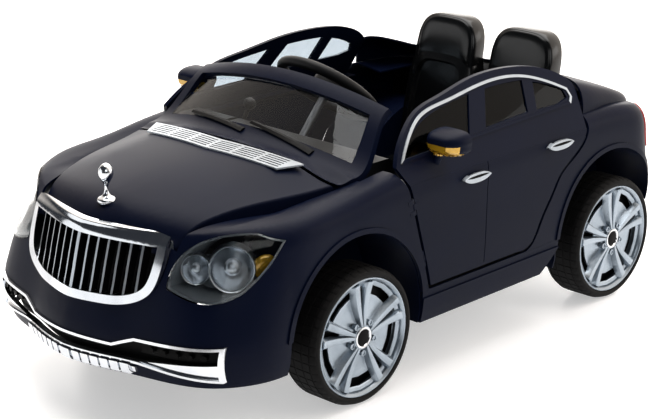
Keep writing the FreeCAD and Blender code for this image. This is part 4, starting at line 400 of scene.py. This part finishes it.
def split_loose(piece):
    """Splits a piece into its unconnected parts, the piece itself first."""
    only(piece)
    bpy.ops.object.mode_set(mode="EDIT")
    bpy.ops.mesh.separate(type="LOOSE")
    bpy.ops.object.mode_set(mode="OBJECT")
    return [piece] + [other for other in bpy.context.selected_objects if other != piece]


def apply_modifier(piece, name, kind, **settings):
    """Adds a modifier with these settings and writes its result into the mesh."""
    modifier = piece.modifiers.new(name, kind)
    for setting, value in settings.items():
        setattr(modifier, setting, value)
    only(piece)
    bpy.ops.object.modifier_apply(modifier=modifier.name)


def fix_place(piece):
    """Writes a piece's place, turn and scale into its mesh."""
    only(piece)
    bpy.ops.object.transform_apply(location=True, rotation=True, scale=True)


def settle(piece, body, finish):
    """Gives a finished piece its material and the body that it rides on."""
    piece.data.materials.clear()
    piece.data.materials.append(finishes[finish])
    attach(piece, body)


def smooth_copy(node, finish):
    """A merged and smoothly shaded copy of a CAD node that stands for it."""
    source = frame["nodes"][node]
    only(source)
    bpy.ops.object.duplicate()
    piece = bpy.context.object
    piece.name = node + "_skin"
    piece.pop("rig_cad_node")
    bpy.ops.object.mode_set(mode="EDIT")
    bpy.ops.mesh.select_all(action="SELECT")
    bpy.ops.mesh.remove_doubles(threshold=MERGE)
    bpy.ops.mesh.customdata_custom_splitnormals_clear()
    bpy.ops.object.mode_set(mode="OBJECT")
    bpy.ops.object.shade_smooth_by_angle(angle=SKIN_ANGLE)
    apply_modifier(piece, "even_light", "WEIGHTED_NORMAL", keep_sharp=True)
    settle(piece, body_of(source)[0], finish)
    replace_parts(piece, node)
    return piece


# %% Smooth copies of the construction's pieces
COPIED = {
    "body": ["front_body", "rear_body", "side_sills", "hood", "rear_deck", "windscreen_frame", "left_door",
             "right_door", "left_mirror", "right_mirror"],
    "dark_trim": ["wipers", "grille_screens", "fog_lamps"],
    "lamp_case": ["headlamp_housings"],
    "chrome": ["hood_ornament", "grille_frame", "bumper_trim", "bumper_teeth"],
    "bright": ["hood_vent", "grille_bars", "left_window_trim", "right_window_trim", "left_door_handles",
               "right_door_handles"],
    "clear": ["windscreen_pane", "headlamp_lenses"],
    # The near (left) windows take the darker lens as painted shade, the far (right) ones the lighter lens as
    # painted light.
    "near_window_painted_shade": ["left_window_panes"],
    "tinted": ["right_window_panes"],
    "red_lamp": ["tail_lamps"],
    "amber_lamp": ["left_mirror_lamp", "right_mirror_lamp"],
    "seat": ["seat_base"],
    "inside": ["floor_pan", "dashboard", "steering_wheel", "horn_button", "accelerator_pedal", "gear_lever"],
    "case": ["front_axle_beam", "gearboxes", "drive_motors", "battery", "control_box", "pedal_bracket"],
    "steel": ["rear_axle", "hinge_pins", "steering_column", "tie_rod", "left_knuckle", "right_knuckle"],
}
skins = {node: smooth_copy(node, finish) for finish, names in COPIED.items() for node in names}
skin_faces = sum(len(piece.data.polygons) for piece in skins.values())
print("smooth copies:", len(skins), "with", skin_faces, "faces")

# %% [markdown]
# ## Tyres
# A foamed tyre is a turned ring with rows of moulded blocks across its tread. The ring is one outline,
# drawn point by point and spun round the axle; the inner side is a little wider than the construction's.
# Each row's block is modelled once and copied round by the same tool.

# %% Helpers for turned pieces
def draw_outline(name, points):
    """An open chain of edges, drawn by extruding one vertex from point to point."""
    bpy.ops.object.select_all(action="DESELECT")
    bpy.ops.mesh.primitive_plane_add(size=MM, location=(0, 0, 0))
    piece = bpy.context.object
    piece.name = name
    bpy.context.tool_settings.mesh_select_mode = (True, False, False)
    bpy.ops.object.mode_set(mode="EDIT")
    bpy.ops.mesh.select_all(action="SELECT")
    bpy.ops.mesh.merge(type="CENTER")
    last = Vector((0, 0, 0))
    for index, point in enumerate(Vector(p) for p in points):
        if index:
            bpy.ops.mesh.extrude_region_move(TRANSFORM_OT_translate={"value": point - last})
        else:
            bpy.ops.transform.translate(value=point)
        last = point
    return piece


def spin_round(steps, copies=False):
    """Spins what is selected in edit mode round the X axis, as a surface or as separate copies."""
    bpy.ops.mesh.select_all(action="SELECT")
    bpy.ops.mesh.spin(steps=steps, dupli=copies, angle=2 * math.pi, center=(0, 0, 0), axis=(1, 0, 0))
    bpy.ops.mesh.select_all(action="SELECT")
    bpy.ops.mesh.remove_doubles(threshold=MERGE)
    bpy.ops.mesh.normals_make_consistent(inside=False)
    bpy.ops.object.mode_set(mode="OBJECT")


def turned_piece(name, outline, scale, steps):
    """A surface spun from an outline of places along the axle and radii, both in units of scale."""
    piece = draw_outline(name, [(along * scale, 0, up * scale) for along, up in outline])
    spin_round(steps)
    return piece


def join(name, parts):
    """Joins several parts into the first one and shades the result."""
    only(parts[0])
    for part in parts[1:]:
        part.select_set(True)
    bpy.ops.object.join()
    parts[0].name = name
    bpy.ops.object.shade_smooth_by_angle(angle=JOIN_ANGLE)
    return parts[0]


# %% One tyre
FINE_STEPS, MIDDLE_STEPS, COARSE_STEPS = 96, 64, 48
TYRE_HALF, TYRE_RADIUS, BEAD_RADIUS, GROOVE_DEPTH = 42 * MM, 132.4 * MM, 116.4 * MM, 1.0 * MM
CARCASS_RADIUS, INNER_EXTRA = TYRE_RADIUS - GROOVE_DEPTH, 5 * MM
SIDE_SHARES = ((0.952, 0.0), (0.985, 0.16), (1.0, 0.38), (0.98, 0.58), (0.92, 0.76), (0.80, 0.92), (0.5, 1.0))
wall_height = CARCASS_RADIUS - BEAD_RADIUS
side_wall = [(TYRE_HALF * across, BEAD_RADIUS + wall_height * up) for across, up in SIDE_SHARES]
ring = [(-across - INNER_EXTRA, up) for across, up in side_wall] + side_wall[::-1]
carcass = turned_piece("carcass", ring + ring[:1], 1, FINE_STEPS)

TREAD_BLOCKS, BLOCK_SHARE, BLOCK_TAPER, BLOCK_EDGE = 46, 0.45, 0.93, 0.5 * MM
# Each row of blocks has its two edges across the tyre, and how far the edge by the shoulder leans down.
TREAD_ROWS = (("outer_blocks", 28, 39.4, 4.4), ("centre_blocks_a", 9, 25, 0.0),
              ("centre_blocks_b", -12, 6, 0.0), ("centre_blocks_c", -31, -15, 0.0),
              ("inner_blocks", -44.4, -34, 4.4))


def tread_block(name, low, high, lean):
    """One moulded block between two places across the tyre, leaning down towards the shoulder."""
    middle, half = (low + high) / 2, (high - low) / 2
    bpy.ops.object.select_all(action="DESELECT")
    bpy.ops.mesh.primitive_cube_add(size=2, location=(0, 0, 0))
    block = bpy.context.object
    block.name = name
    arc_half = BLOCK_SHARE * 2 * math.pi * TYRE_RADIUS / TREAD_BLOCKS
    bpy.ops.object.mode_set(mode="EDIT")
    bpy.ops.mesh.select_all(action="SELECT")
    bpy.ops.transform.resize(value=(half, arc_half, GROOVE_DEPTH))
    bpy.ops.transform.translate(value=(middle, 0, CARCASS_RADIUS))
    bpy.ops.object.mode_set(mode="OBJECT")
    for corner in block.data.vertices:
        if abs(corner.co.x) > abs(middle) and lean:
            corner.co.z -= lean
        if corner.co.z > CARCASS_RADIUS:
            corner.co.y *= BLOCK_TAPER
    bpy.ops.object.mode_set(mode="EDIT")
    bpy.ops.mesh.select_all(action="SELECT")
    bpy.ops.mesh.bevel(offset=BLOCK_EDGE, segments=1, affect="EDGES")
    return block


blocks = []
for name, low, high, lean in TREAD_ROWS:
    blocks.append(tread_block(name, low * MM, high * MM, lean * MM))
    spin_round(TREAD_BLOCKS, copies=True)
tyre = join("tyre_pattern", [carcass] + blocks)
print("tyre:", len(tyre.data.polygons), "faces,", TREAD_BLOCKS, "blocks in each of", len(TREAD_ROWS), "rows")

# %% [markdown]
# ## Wheels
# The wheel's face repeats five times: two raised ridges run out from the hub with a slit between them, and
# a dished panel with a window at the rim fills the gap to the next pair. One fifth is a grid whose columns
# follow the edges of the ridges, so each row can be laid out by radius and angle. The windows are deleted
# faces, the fifth is copied round, and a wall thickness and a small bevel finish it.

# %% One wheel
SPOKES, FACE_INNER, FACE_OUTER, FACE_X = 5, 22 * MM, 107 * MM, 30 * MM
FACE_WALL, FACE_EDGE, EDGE_ANGLE = 4 * MM, 0.7 * MM, math.radians(28)
RADII_SHARES = (0.0, 0.12, 0.24, 0.36, 0.48, 0.60, 0.70, 0.80, 0.90, 1.0)
SECTOR = math.pi / SPOKES
# Degrees from the middle of a pair of ridges: at the hub, and the change from there to the rim.
SLIT_DEGREES, RIDGE_DEGREES, FOOT_DEGREES, PANE_DEGREES = (1.6, 4.6), (13.5, -0.5), (3.6, 0.0), (3.0, 1.5)
RIDGE_TOP, RIDGE_SAG, RIDGE_RISE, RIDGE_CROWN, PANEL_TOP, PANEL_SAG = 9, 3.0, 1.0, 0.6 * MM, 1.5, 7.5
SLIT_FLOOR_SHARE, SLIT_CUT_SHARE = 0.55, 0.6
SLIT_REACH_SHARES, WINDOW_REACH_SHARES = (0.36, 0.90), (0.70, 0.90)


def spread(degrees, out):
    """An angle at a share of the way out to the rim."""
    return math.radians(degrees[0] + degrees[1] * out)


def foot(out):
    """The angle at which the outer flank of a ridge meets the dished panel."""
    return spread(RIDGE_DEGREES, out) + spread(FOOT_DEGREES, out)


def face_row(out):
    """Angles and heights across one fifth of the face at a share of the way out to the rim."""
    dish = 1 - 4 * (out - 0.5) ** 2
    top = FACE_X + (RIDGE_TOP - RIDGE_SAG * dish + RIDGE_RISE * out) * MM
    low = FACE_X + (PANEL_TOP - PANEL_SAG * dish) * MM
    slit = spread(SLIT_DEGREES, out)
    half = [(slit * SLIT_FLOOR_SHARE, low), (slit, top), (spread(RIDGE_DEGREES, out), top + RIDGE_CROWN),
            (foot(out), low), (foot(out) + spread(PANE_DEGREES, out), low), (SECTOR, low)]
    return [(-angle, height) for angle, height in reversed(half)] + half


COLUMNS, ROWS = len(face_row(0)), len(RADII_SHARES)
bpy.ops.object.select_all(action="DESELECT")
bpy.ops.mesh.primitive_grid_add(x_subdivisions=COLUMNS - 1, y_subdivisions=ROWS - 1, size=1)
face = bpy.context.object
face.name = "wheel_face"
for corner in face.data.vertices:
    column = round((corner.co.x + 0.5) * (COLUMNS - 1))
    out = RADII_SHARES[round((corner.co.y + 0.5) * (ROWS - 1))]
    angle, height = face_row(out)[column]
    radius = FACE_INNER + (FACE_OUTER - FACE_INNER) * out
    corner.co = (height, radius * math.sin(angle), radius * math.cos(angle))


def is_window(panel):
    """True for the faces of the slit between the ridges and of the window by the rim."""
    centre = panel.center
    radius, angle = math.hypot(centre.y, centre.z), abs(math.atan2(centre.y, centre.z))
    out = (radius - FACE_INNER) / (FACE_OUTER - FACE_INNER)
    if angle < spread(SLIT_DEGREES, out) * SLIT_CUT_SHARE:
        return SLIT_REACH_SHARES[0] < out < SLIT_REACH_SHARES[1]
    return angle > foot(out) and WINDOW_REACH_SHARES[0] < out < WINDOW_REACH_SHARES[1]


pick_faces(face, is_window)
bpy.ops.mesh.delete(type="FACE")
spin_round(SPOKES, copies=True)
apply_modifier(face, "wall", "SOLIDIFY", thickness=FACE_WALL, offset=-1)
apply_modifier(face, "soften", "BEVEL", width=FACE_EDGE, segments=2, angle_limit=EDGE_ANGLE)
print("wheel face:", len(face.data.polygons), "faces")

# %% Barrel, lug nuts and cap
BARREL = ((-40, 115.6), (-40, 111), (-36, 107.5), (34, 107.5), (36.5, 109), (38.6, 111.5), (40, 113),
          (40, 114.6), (39, 115.6), (-40, 115.6))
HUB = ((-12, 0), (-12, 21), (33, 24), (37, 23), (37.5, 19.6))
barrel = turned_piece("barrel", BARREL, MM, FINE_STEPS)
hub = turned_piece("hub", HUB, MM, COARSE_STEPS)

LUG_CIRCLE, LUG_RADIUS, LUG_LENGTH, LUG_RIM, LUG_SOCKET = 31 * MM, 6.2 * MM, 9 * MM, 1.4 * MM, 1.6 * MM
lug_place = (FACE_X + LUG_LENGTH / 2, -LUG_CIRCLE * math.sin(SECTOR), LUG_CIRCLE * math.cos(SECTOR))
bpy.ops.object.select_all(action="DESELECT")
bpy.ops.mesh.primitive_cylinder_add(vertices=6, radius=LUG_RADIUS, depth=LUG_LENGTH, location=lug_place,
                                    rotation=(0, math.pi / 2, 0))
lugs = bpy.context.object
fix_place(lugs)
pick_faces(lugs, lambda panel: panel.normal.x > 0.9)
bpy.ops.mesh.inset(thickness=LUG_RIM)
bpy.ops.mesh.extrude_region_move(TRANSFORM_OT_translate={"value": (-LUG_SOCKET, 0, 0)})
spin_round(SPOKES, copies=True)
rim = join("rim_pattern", [face, barrel, hub, lugs])

CAP = ((37.2, 20.8), (39.4, 20.6), (40.0, 18.8), (39.4, 16.8), (37.6, 15.8))
BADGE = ((37.4, 16.2), (38.0, 15.4), (38.6, 12), (39.2, 6), (39.4, 0))
BACKING = ((14, 106.5), (14, 24))
cap, badge, backing = [join(name, [turned_piece(name, outline, MM, MIDDLE_STEPS)]) for name, outline in
                       (("cap_pattern", CAP), ("badge_pattern", BADGE), ("backing_pattern", BACKING))]
print("rim:", len(rim.data.polygons), "faces, cap:", len(cap.data.polygons), "faces")

# %% [markdown]
# ## Four wheels
# The right-hand wheels are the left-hand ones turned half round, so nothing has to be mirrored. Each copy
# gets its own mesh and its place is written into that mesh.

# %% Place the wheels
for pattern, finish, part in ((tyre, "tyre", "tyre"), (rim, "rim", "rim"), (cap, "chrome", "cap"),
                              (badge, "dark_trim", "badge"), (backing, "dark_trim", "backing")):
    for end in ("front", "rear"):
        for side, half_turn in (("left", 0.0), ("right", math.pi)):
            low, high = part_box(f"{end}_{side}_tyre")
            only(pattern)
            bpy.ops.object.duplicate()
            piece = bpy.context.object
            piece.name = f"{end}_{side}_{part}_dressed"
            piece.location = (low + high) / 2
            piece.rotation_euler = (0, 0, half_turn)
            fix_place(piece)
            settle(piece, f"{end}_{side}_wheel", finish)
            if part in ("tyre", "rim"):
                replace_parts(piece, f"{end}_{side}_{part}")
for pattern in (tyre, rim, cap, badge, backing):
    bpy.data.objects.remove(pattern)
print("wheels: four tyres, rims, caps, badges and backings")

# %% [markdown]
# ## Seats
# Each seat is two blow-moulded cushions: a back with rounded shoulders and a headrest above it. Both start
# as a drawn outline, a rounded box seen from the front. It is filled at the back and pulled forward ring by
# ring. Rings that widen or narrow round the edges; rings that go in and out again leave the seam, the
# bolsters and the pillow. The list of a cushion's front holds each ring's step forward in millimetres and
# its scale.

# %% Seat cushions
SEAT_MIDDLE, SEAT_FOOT_Y, SEAT_FOOT_Z, SEAT_LEAN, SEAT_BACKSET = 106.5, 404, 234, 0.215, 8
OUTLINE_STEPS, REAR_SHARE, REAR_RINGS, EDGE_DEPTH = 36, 0.92, ((3, 1.06), (5, 1.025)), 14
BACK_FRONT = ((3, 0.99), (2, 0.97), (-1.6, 0.985), (1.6, 0.985), (6, 0.86), (4, 0.92), (-9, 0.93), (1, 0.8))
REST_FRONT = ((3, 0.985), (2, 0.96), (-1.4, 0.985), (1.4, 0.985), (3, 0.88), (1, 0.7))
# Half the width, foot, top and depth in millimetres, how square the outline is, and the rings of the front.
CUSHIONS = (("back", 95, 236, 488, 50, 5.0, BACK_FRONT), ("headrest", 84, 446, 553, 44, 3.6, REST_FRONT))


def cushion(name, half, low, high, depth, power, front):
    """A cushion pulled forward from its rounded outline, on the leaning line of the seat's back."""
    outline = []
    for step in range(OUTLINE_STEPS + 1):
        angle = math.pi * step / OUTLINE_STEPS
        across = math.copysign(half * abs(math.cos(angle)) ** (2 / power), math.cos(angle))
        outline.append((across, depth, low + (high - low) * math.sin(angle) ** (2 / power)))
    piece = draw_outline(name, [Vector(point) * MM for point in outline])
    bpy.ops.mesh.select_all(action="SELECT")
    bpy.ops.mesh.edge_face_add()
    bpy.ops.transform.resize(value=(REAR_SHARE, 1, REAR_SHARE))
    for height, scale in (*REAR_RINGS, (depth - EDGE_DEPTH, 1.0), *front):
        bpy.ops.mesh.extrude_region_move(TRANSFORM_OT_translate={"value": (0, -height * MM, 0)})
        bpy.ops.transform.resize(value=(scale, 1, scale))
    bpy.ops.mesh.select_all(action="SELECT")
    bpy.ops.mesh.normals_make_consistent(inside=False)
    bpy.ops.object.mode_set(mode="OBJECT")
    for corner in piece.data.vertices:
        corner.co.y += (corner.co.z - SEAT_FOOT_Z * MM) * SEAT_LEAN + SEAT_FOOT_Y * MM
    return piece


cushions = []
for side in (1, -1):
    for sizes in CUSHIONS:
        part = cushion(*sizes)
        part.location = (side * SEAT_MIDDLE * MM, SEAT_BACKSET * MM, 0)
        fix_place(part)
        cushions.append(part)
seats = join("seat_backs_dressed", cushions)
settle(seats, "chassis", "seat")
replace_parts(seats, "seat_backs")
print("seats:", len(seats.data.polygons), "faces")

# %% [markdown]
# ## Lamps
# Each headlamp has a large and a small bowl with a bright lip and a bulb, turned from an outline and set
# square to the lamp's own direction, and an amber corner lamp at its outer end. The mirror lamp is a ribbed
# lens bent round the front of the mirror. The backs of the tail lamps are dark, so that no red shows in the
# cabin.

# %% Headlamp bowls
LAMP_TOE, LAMP_RISE = math.radians(42), 0.10
# Outlines as shares of the bowl's radius; then each bowl's middle on the left side and its radius.
BOWL = ((0.0, 0.93), (-0.12, 0.86), (-0.30, 0.70), (-0.44, 0.46), (-0.48, 0.30))
LIP = ((-0.6, 1.0), (0.05, 0.99), (0.09, 0.96), (0.06, 0.92), (-0.02, 0.90))
BULB = ((-0.50, 0.34), (-0.30, 0.36), (-0.16, 0.31), (-0.07, 0.20), (-0.04, 0.0))
BOWL_PLACES = (((262, -528, 314), 42), ((216, -571, 313), 27))
bowls, bulbs = [], []
for side in (1, -1):
    facing = Vector((side * math.sin(LAMP_TOE), -math.cos(LAMP_TOE), LAMP_RISE)).normalized()
    for (x, y, z), radius in BOWL_PLACES:
        for kept, outline, name in ((bowls, BOWL, "bowl"), (bulbs, LIP, "lip"), (bulbs, BULB, "bulb")):
            part = turned_piece(name, outline, radius * MM, COARSE_STEPS)
            part.location = Vector((side * x, y, z)) * MM
            part.rotation_euler = facing.to_track_quat("X", "Z").to_euler()
            fix_place(part)
            kept.append(part)
reflectors = join("headlamp_reflectors_dressed", bowls)
settle(reflectors, "chassis", "chrome")
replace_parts(reflectors, "headlamp_reflectors")
lights = join("headlamp_lips_and_bulbs", bulbs)
settle(lights, "chassis", "bright")
print("headlamp bowls:", len(reflectors.data.polygons), "faces")

# %% Amber corner lamps
CORNER_PLACE, CORNER_HALVES, CORNER_LEAN = (298, -480, 312), (5, 23, 24), math.radians(-14)
corner_lamps = []
for side in (1, -1):
    bpy.ops.object.select_all(action="DESELECT")
    bpy.ops.mesh.primitive_uv_sphere_add(segments=32, ring_count=16, radius=1, location=(0, 0, 0))
    part = bpy.context.object
    part.scale = Vector(CORNER_HALVES) * MM
    part.rotation_euler = (CORNER_LEAN, 0, side * -LAMP_TOE)
    part.location = Vector((side * CORNER_PLACE[0], *CORNER_PLACE[1:])) * MM
    fix_place(part)
    corner_lamps.append(part)
ambers = join("headlamp_corner_lamps", corner_lamps)
settle(ambers, "chassis", "amber_lamp")
print("corner lamps:", len(ambers.data.polygons), "faces")

# %% Dark backs of the tail lamps
BACK_NORMAL = -0.15
backs = split_off(skins["tail_lamps"], lambda panel: panel.normal.y < BACK_NORMAL, "tail_lamp_backs")
settle(backs, "chassis", "dark_trim")
print("tail lamp backs:", len(backs.data.polygons), "faces")

# %% Ribbed lenses of the mirror lamps
RIBS, RIB_COLUMNS, LENS_ROWS, RIB_HEIGHT, LENS_ANGLE = 14, 6, 28, 1.1 * MM, math.radians(50)
LENS_WIDTH, LENS_FOOT, LENS_HEIGHT, LENS_GAP, LENS_WALL = 72, 437, 25, 0.8 * MM, 2 * MM
LENS_START, LENS_MISSED, LENS_EDGES = -120, -110 * MM, {"left": 317, "right": -389}
for side, low_x in LENS_EDGES.items():
    bpy.ops.object.select_all(action="DESELECT")
    bpy.ops.mesh.primitive_grid_add(x_subdivisions=RIBS * RIB_COLUMNS, y_subdivisions=LENS_ROWS, size=1)
    lens = bpy.context.object
    lens.name = side + "_mirror_lens"
    for corner in lens.data.vertices:
        across, up = corner.co.x + 0.5, corner.co.y + 0.5
        corner.co = Vector((low_x + LENS_WIDTH * across, LENS_START, LENS_FOOT + LENS_HEIGHT * up)) * MM
    apply_modifier(lens, "wrap", "SHRINKWRAP", wrap_method="PROJECT", target=skins[side + "_mirror"],
                   offset=LENS_GAP, use_project_y=True, use_positive_direction=True)
    corners = lens.data.vertices
    pick_faces(lens, lambda panel: min(corners[number].co.y for number in panel.vertices) < LENS_MISSED)
    bpy.ops.mesh.delete(type="FACE")
    bpy.ops.object.mode_set(mode="OBJECT")
    for corner in lens.data.vertices:
        corner.co.y -= RIB_HEIGHT * abs(math.sin(math.pi * RIBS * (corner.co.x / MM - low_x) / LENS_WIDTH))
    apply_modifier(lens, "wall", "SOLIDIFY", thickness=LENS_WALL, offset=0)
    bpy.ops.object.shade_smooth_by_angle(angle=LENS_ANGLE)
    settle(lens, side + "_door", "amber_lamp")
print("mirror lenses:", RIBS, "ribs each")

# %% [markdown]
# ## Trim and handles
# Only the upper part of the window surround is bright; its straight lower edge is body coloured, so those
# long faces become a piece of their own. The handles get rounded rims, and a slim dark strip of painted shade
# along the middle of each, standing for the shade of a slot, is a flattened copy of the handle itself.

# %% Lower edges, rims and painted shade slots
SILL_LENGTH, HANDLE_EDGE = 80 * MM, 3.2 * MM
HANDLE_EDGE_ANGLE, HANDLE_ANGLE = math.radians(40), math.radians(60)
SHADE_SLOT_OUT, SHADE_SLOT_LENGTH_SHARE, SHADE_SLOT_HEIGHT_SHARE, SHADE_SLOT_RISE = 0.9 * MM, 0.80, 0.26, 2.6 * MM


def length(piece, panel):
    """How far one face of a piece reaches along the car."""
    along = [piece.data.vertices[number].co.y for number in panel.vertices]
    return max(along) - min(along)


for side in ("left", "right"):
    trim = skins[side + "_window_trim"]
    lower = split_off(trim, lambda panel: length(trim, panel) > SILL_LENGTH, side + "_window_sill")
    settle(lower, side + "_door", "body")

    handles = skins[side + "_door_handles"]
    apply_modifier(handles, "soften", "BEVEL", width=HANDLE_EDGE, segments=3, angle_limit=HANDLE_EDGE_ANGLE)
    bpy.ops.object.shade_smooth_by_angle(angle=HANDLE_ANGLE)

    # The dark slot on each handle is a flattened copy laid just outside it: painted shade, with no recess
    # cut.
    bpy.ops.object.duplicate()
    shade_strips = split_loose(bpy.context.object)
    for shade_strip in shade_strips:
        middle = sum((corner.co for corner in shade_strip.data.vertices), Vector()) / len(shade_strip.data.vertices)
        for corner in shade_strip.data.vertices:
            away = corner.co - middle
            out = away.x + math.copysign(SHADE_SLOT_OUT, middle.x)
            up = away.z * SHADE_SLOT_HEIGHT_SHARE + SHADE_SLOT_RISE
            corner.co = middle + Vector((out, away.y * SHADE_SLOT_LENGTH_SHARE, up))
    handle_painted_shade = join(side + "_handle_painted_shade", shade_strips)
    handle_painted_shade.pop("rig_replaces", None)
    settle(handle_painted_shade, side + "_door", "dark_trim")
print("trim: lower edges, handles and their slots")

# %% [markdown]
# ## Grille bars
# The bars are slimmer than the construction's. They are taken apart, narrowed one by one about their own
# The header above them reaches less far down than the construction's, so its
# lower edge and the tops of the bars move up. Only the fronts are plated; the flanks take the dark trim
# colour as painted shade, so that the gaps read as black.

# %% Slim bars
BAR_SHARE, SHADED_FLANK_NORMAL, HEADER_LIFT = 0.62, 0.55, 14
LIFT_START, LIFT_FULL, LIFT_END = 270, 337, 374


def soft_step(value, low, high):
    """0 below low, 1 above high and a soft S between them."""
    share = min(max((value - low) / (high - low), 0), 1)
    return share * share * (3 - 2 * share)


single = split_loose(skins["grille_bars"])
for bar in single:
    across = [corner.co.x for corner in bar.data.vertices]
    middle = (min(across) + max(across)) / 2
    for corner in bar.data.vertices:
        corner.co.x = middle + (corner.co.x - middle) * BAR_SHARE
bars = join("grille_bars_skin", single)
for corner in [*bars.data.vertices, *skins["grille_frame"].data.vertices]:
    height = corner.co.z / MM
    share = soft_step(height, LIFT_START, LIFT_FULL) * (1 - soft_step(height, LIFT_FULL, LIFT_END))
    corner.co.z += HEADER_LIFT * share * MM
# The flanks of the plated bars are coloured dark as painted shade in the gaps between the bars.
shaded_flanks = split_off(bars, lambda panel: abs(panel.normal.x) > SHADED_FLANK_NORMAL, "grille_bar_painted_shade")
settle(shaded_flanks, "chassis", "dark_trim")
print("grille bars:", len(single))

# %% [markdown]
# ## Corners of the nose
# Seen from above, the real nose is blunter than the construction's: its corners reach further out and
# forward. The skins of the front pieces are pulled there together, most at the bumper, less at the lamps
# and not at all at the middle or at the wheel arches, so that all seams stay closed.

# %% Blunt the nose
NOSE_FRONT, NOSE_DEPTH, NOSE_PUSH, PUSH_OUT, PUSH_FORWARD = -702, 240, 36, 0.66, -0.68
NOSE_SIDE, NOSE_RISE, NOSE_TOP_LOSS = (110, 290), (240, 370), 0.7
nose = [skins[name] for name in ("front_body", "grille_frame", "grille_screens", "headlamp_housings",
                                 "headlamp_lenses", "fog_lamps", "bumper_trim", "bumper_teeth")]
nose += [bars, shaded_flanks, reflectors, lights, ambers]
for piece in nose:
    for corner in piece.data.vertices:
        x, y, z = corner.co / MM
        bend = math.acos(1 - min(max((y - NOSE_FRONT) / NOSE_DEPTH, 0), 1))
        fade = soft_step(abs(x), *NOSE_SIDE) * (1 - NOSE_TOP_LOSS * soft_step(z, *NOSE_RISE))
        push = NOSE_PUSH * math.sin(2 * bend) * fade
        corner.co += Vector((math.copysign(PUSH_OUT, x), PUSH_FORWARD, 0)) * push * MM
print("nose:", len(nose), "pieces shaped")

# %% [markdown]
# ## Rear corners of the hood
# The hood lies flush with the wings at its rear corners, so those corners come down, and with them the
# front edge of the cowl behind them and the top of the front body beneath them.

# %% Lower the corners
HOOD_DROP, HOOD_SIDE, HOOD_REAR, COWL_END = 19, (150, 266), (-560, -310), (-282, -240)
UNDER_HEIGHT, UNDER_SIDE = (375, 395), (236, 264)
for name in ("hood", "windscreen_frame", "front_body"):
    for corner in skins[name].data.vertices:
        x, y, z = corner.co / MM
        along = soft_step(y, *HOOD_REAR) * (1 - soft_step(y, *COWL_END))
        drop = HOOD_DROP * soft_step(abs(x), *HOOD_SIDE) * along
        if name == "front_body":
            drop *= soft_step(z, *UNDER_HEIGHT) * (1 - soft_step(abs(x), *UNDER_SIDE))
        corner.co.z -= drop * MM
print("hood: corners lowered by", HOOD_DROP, "mm")
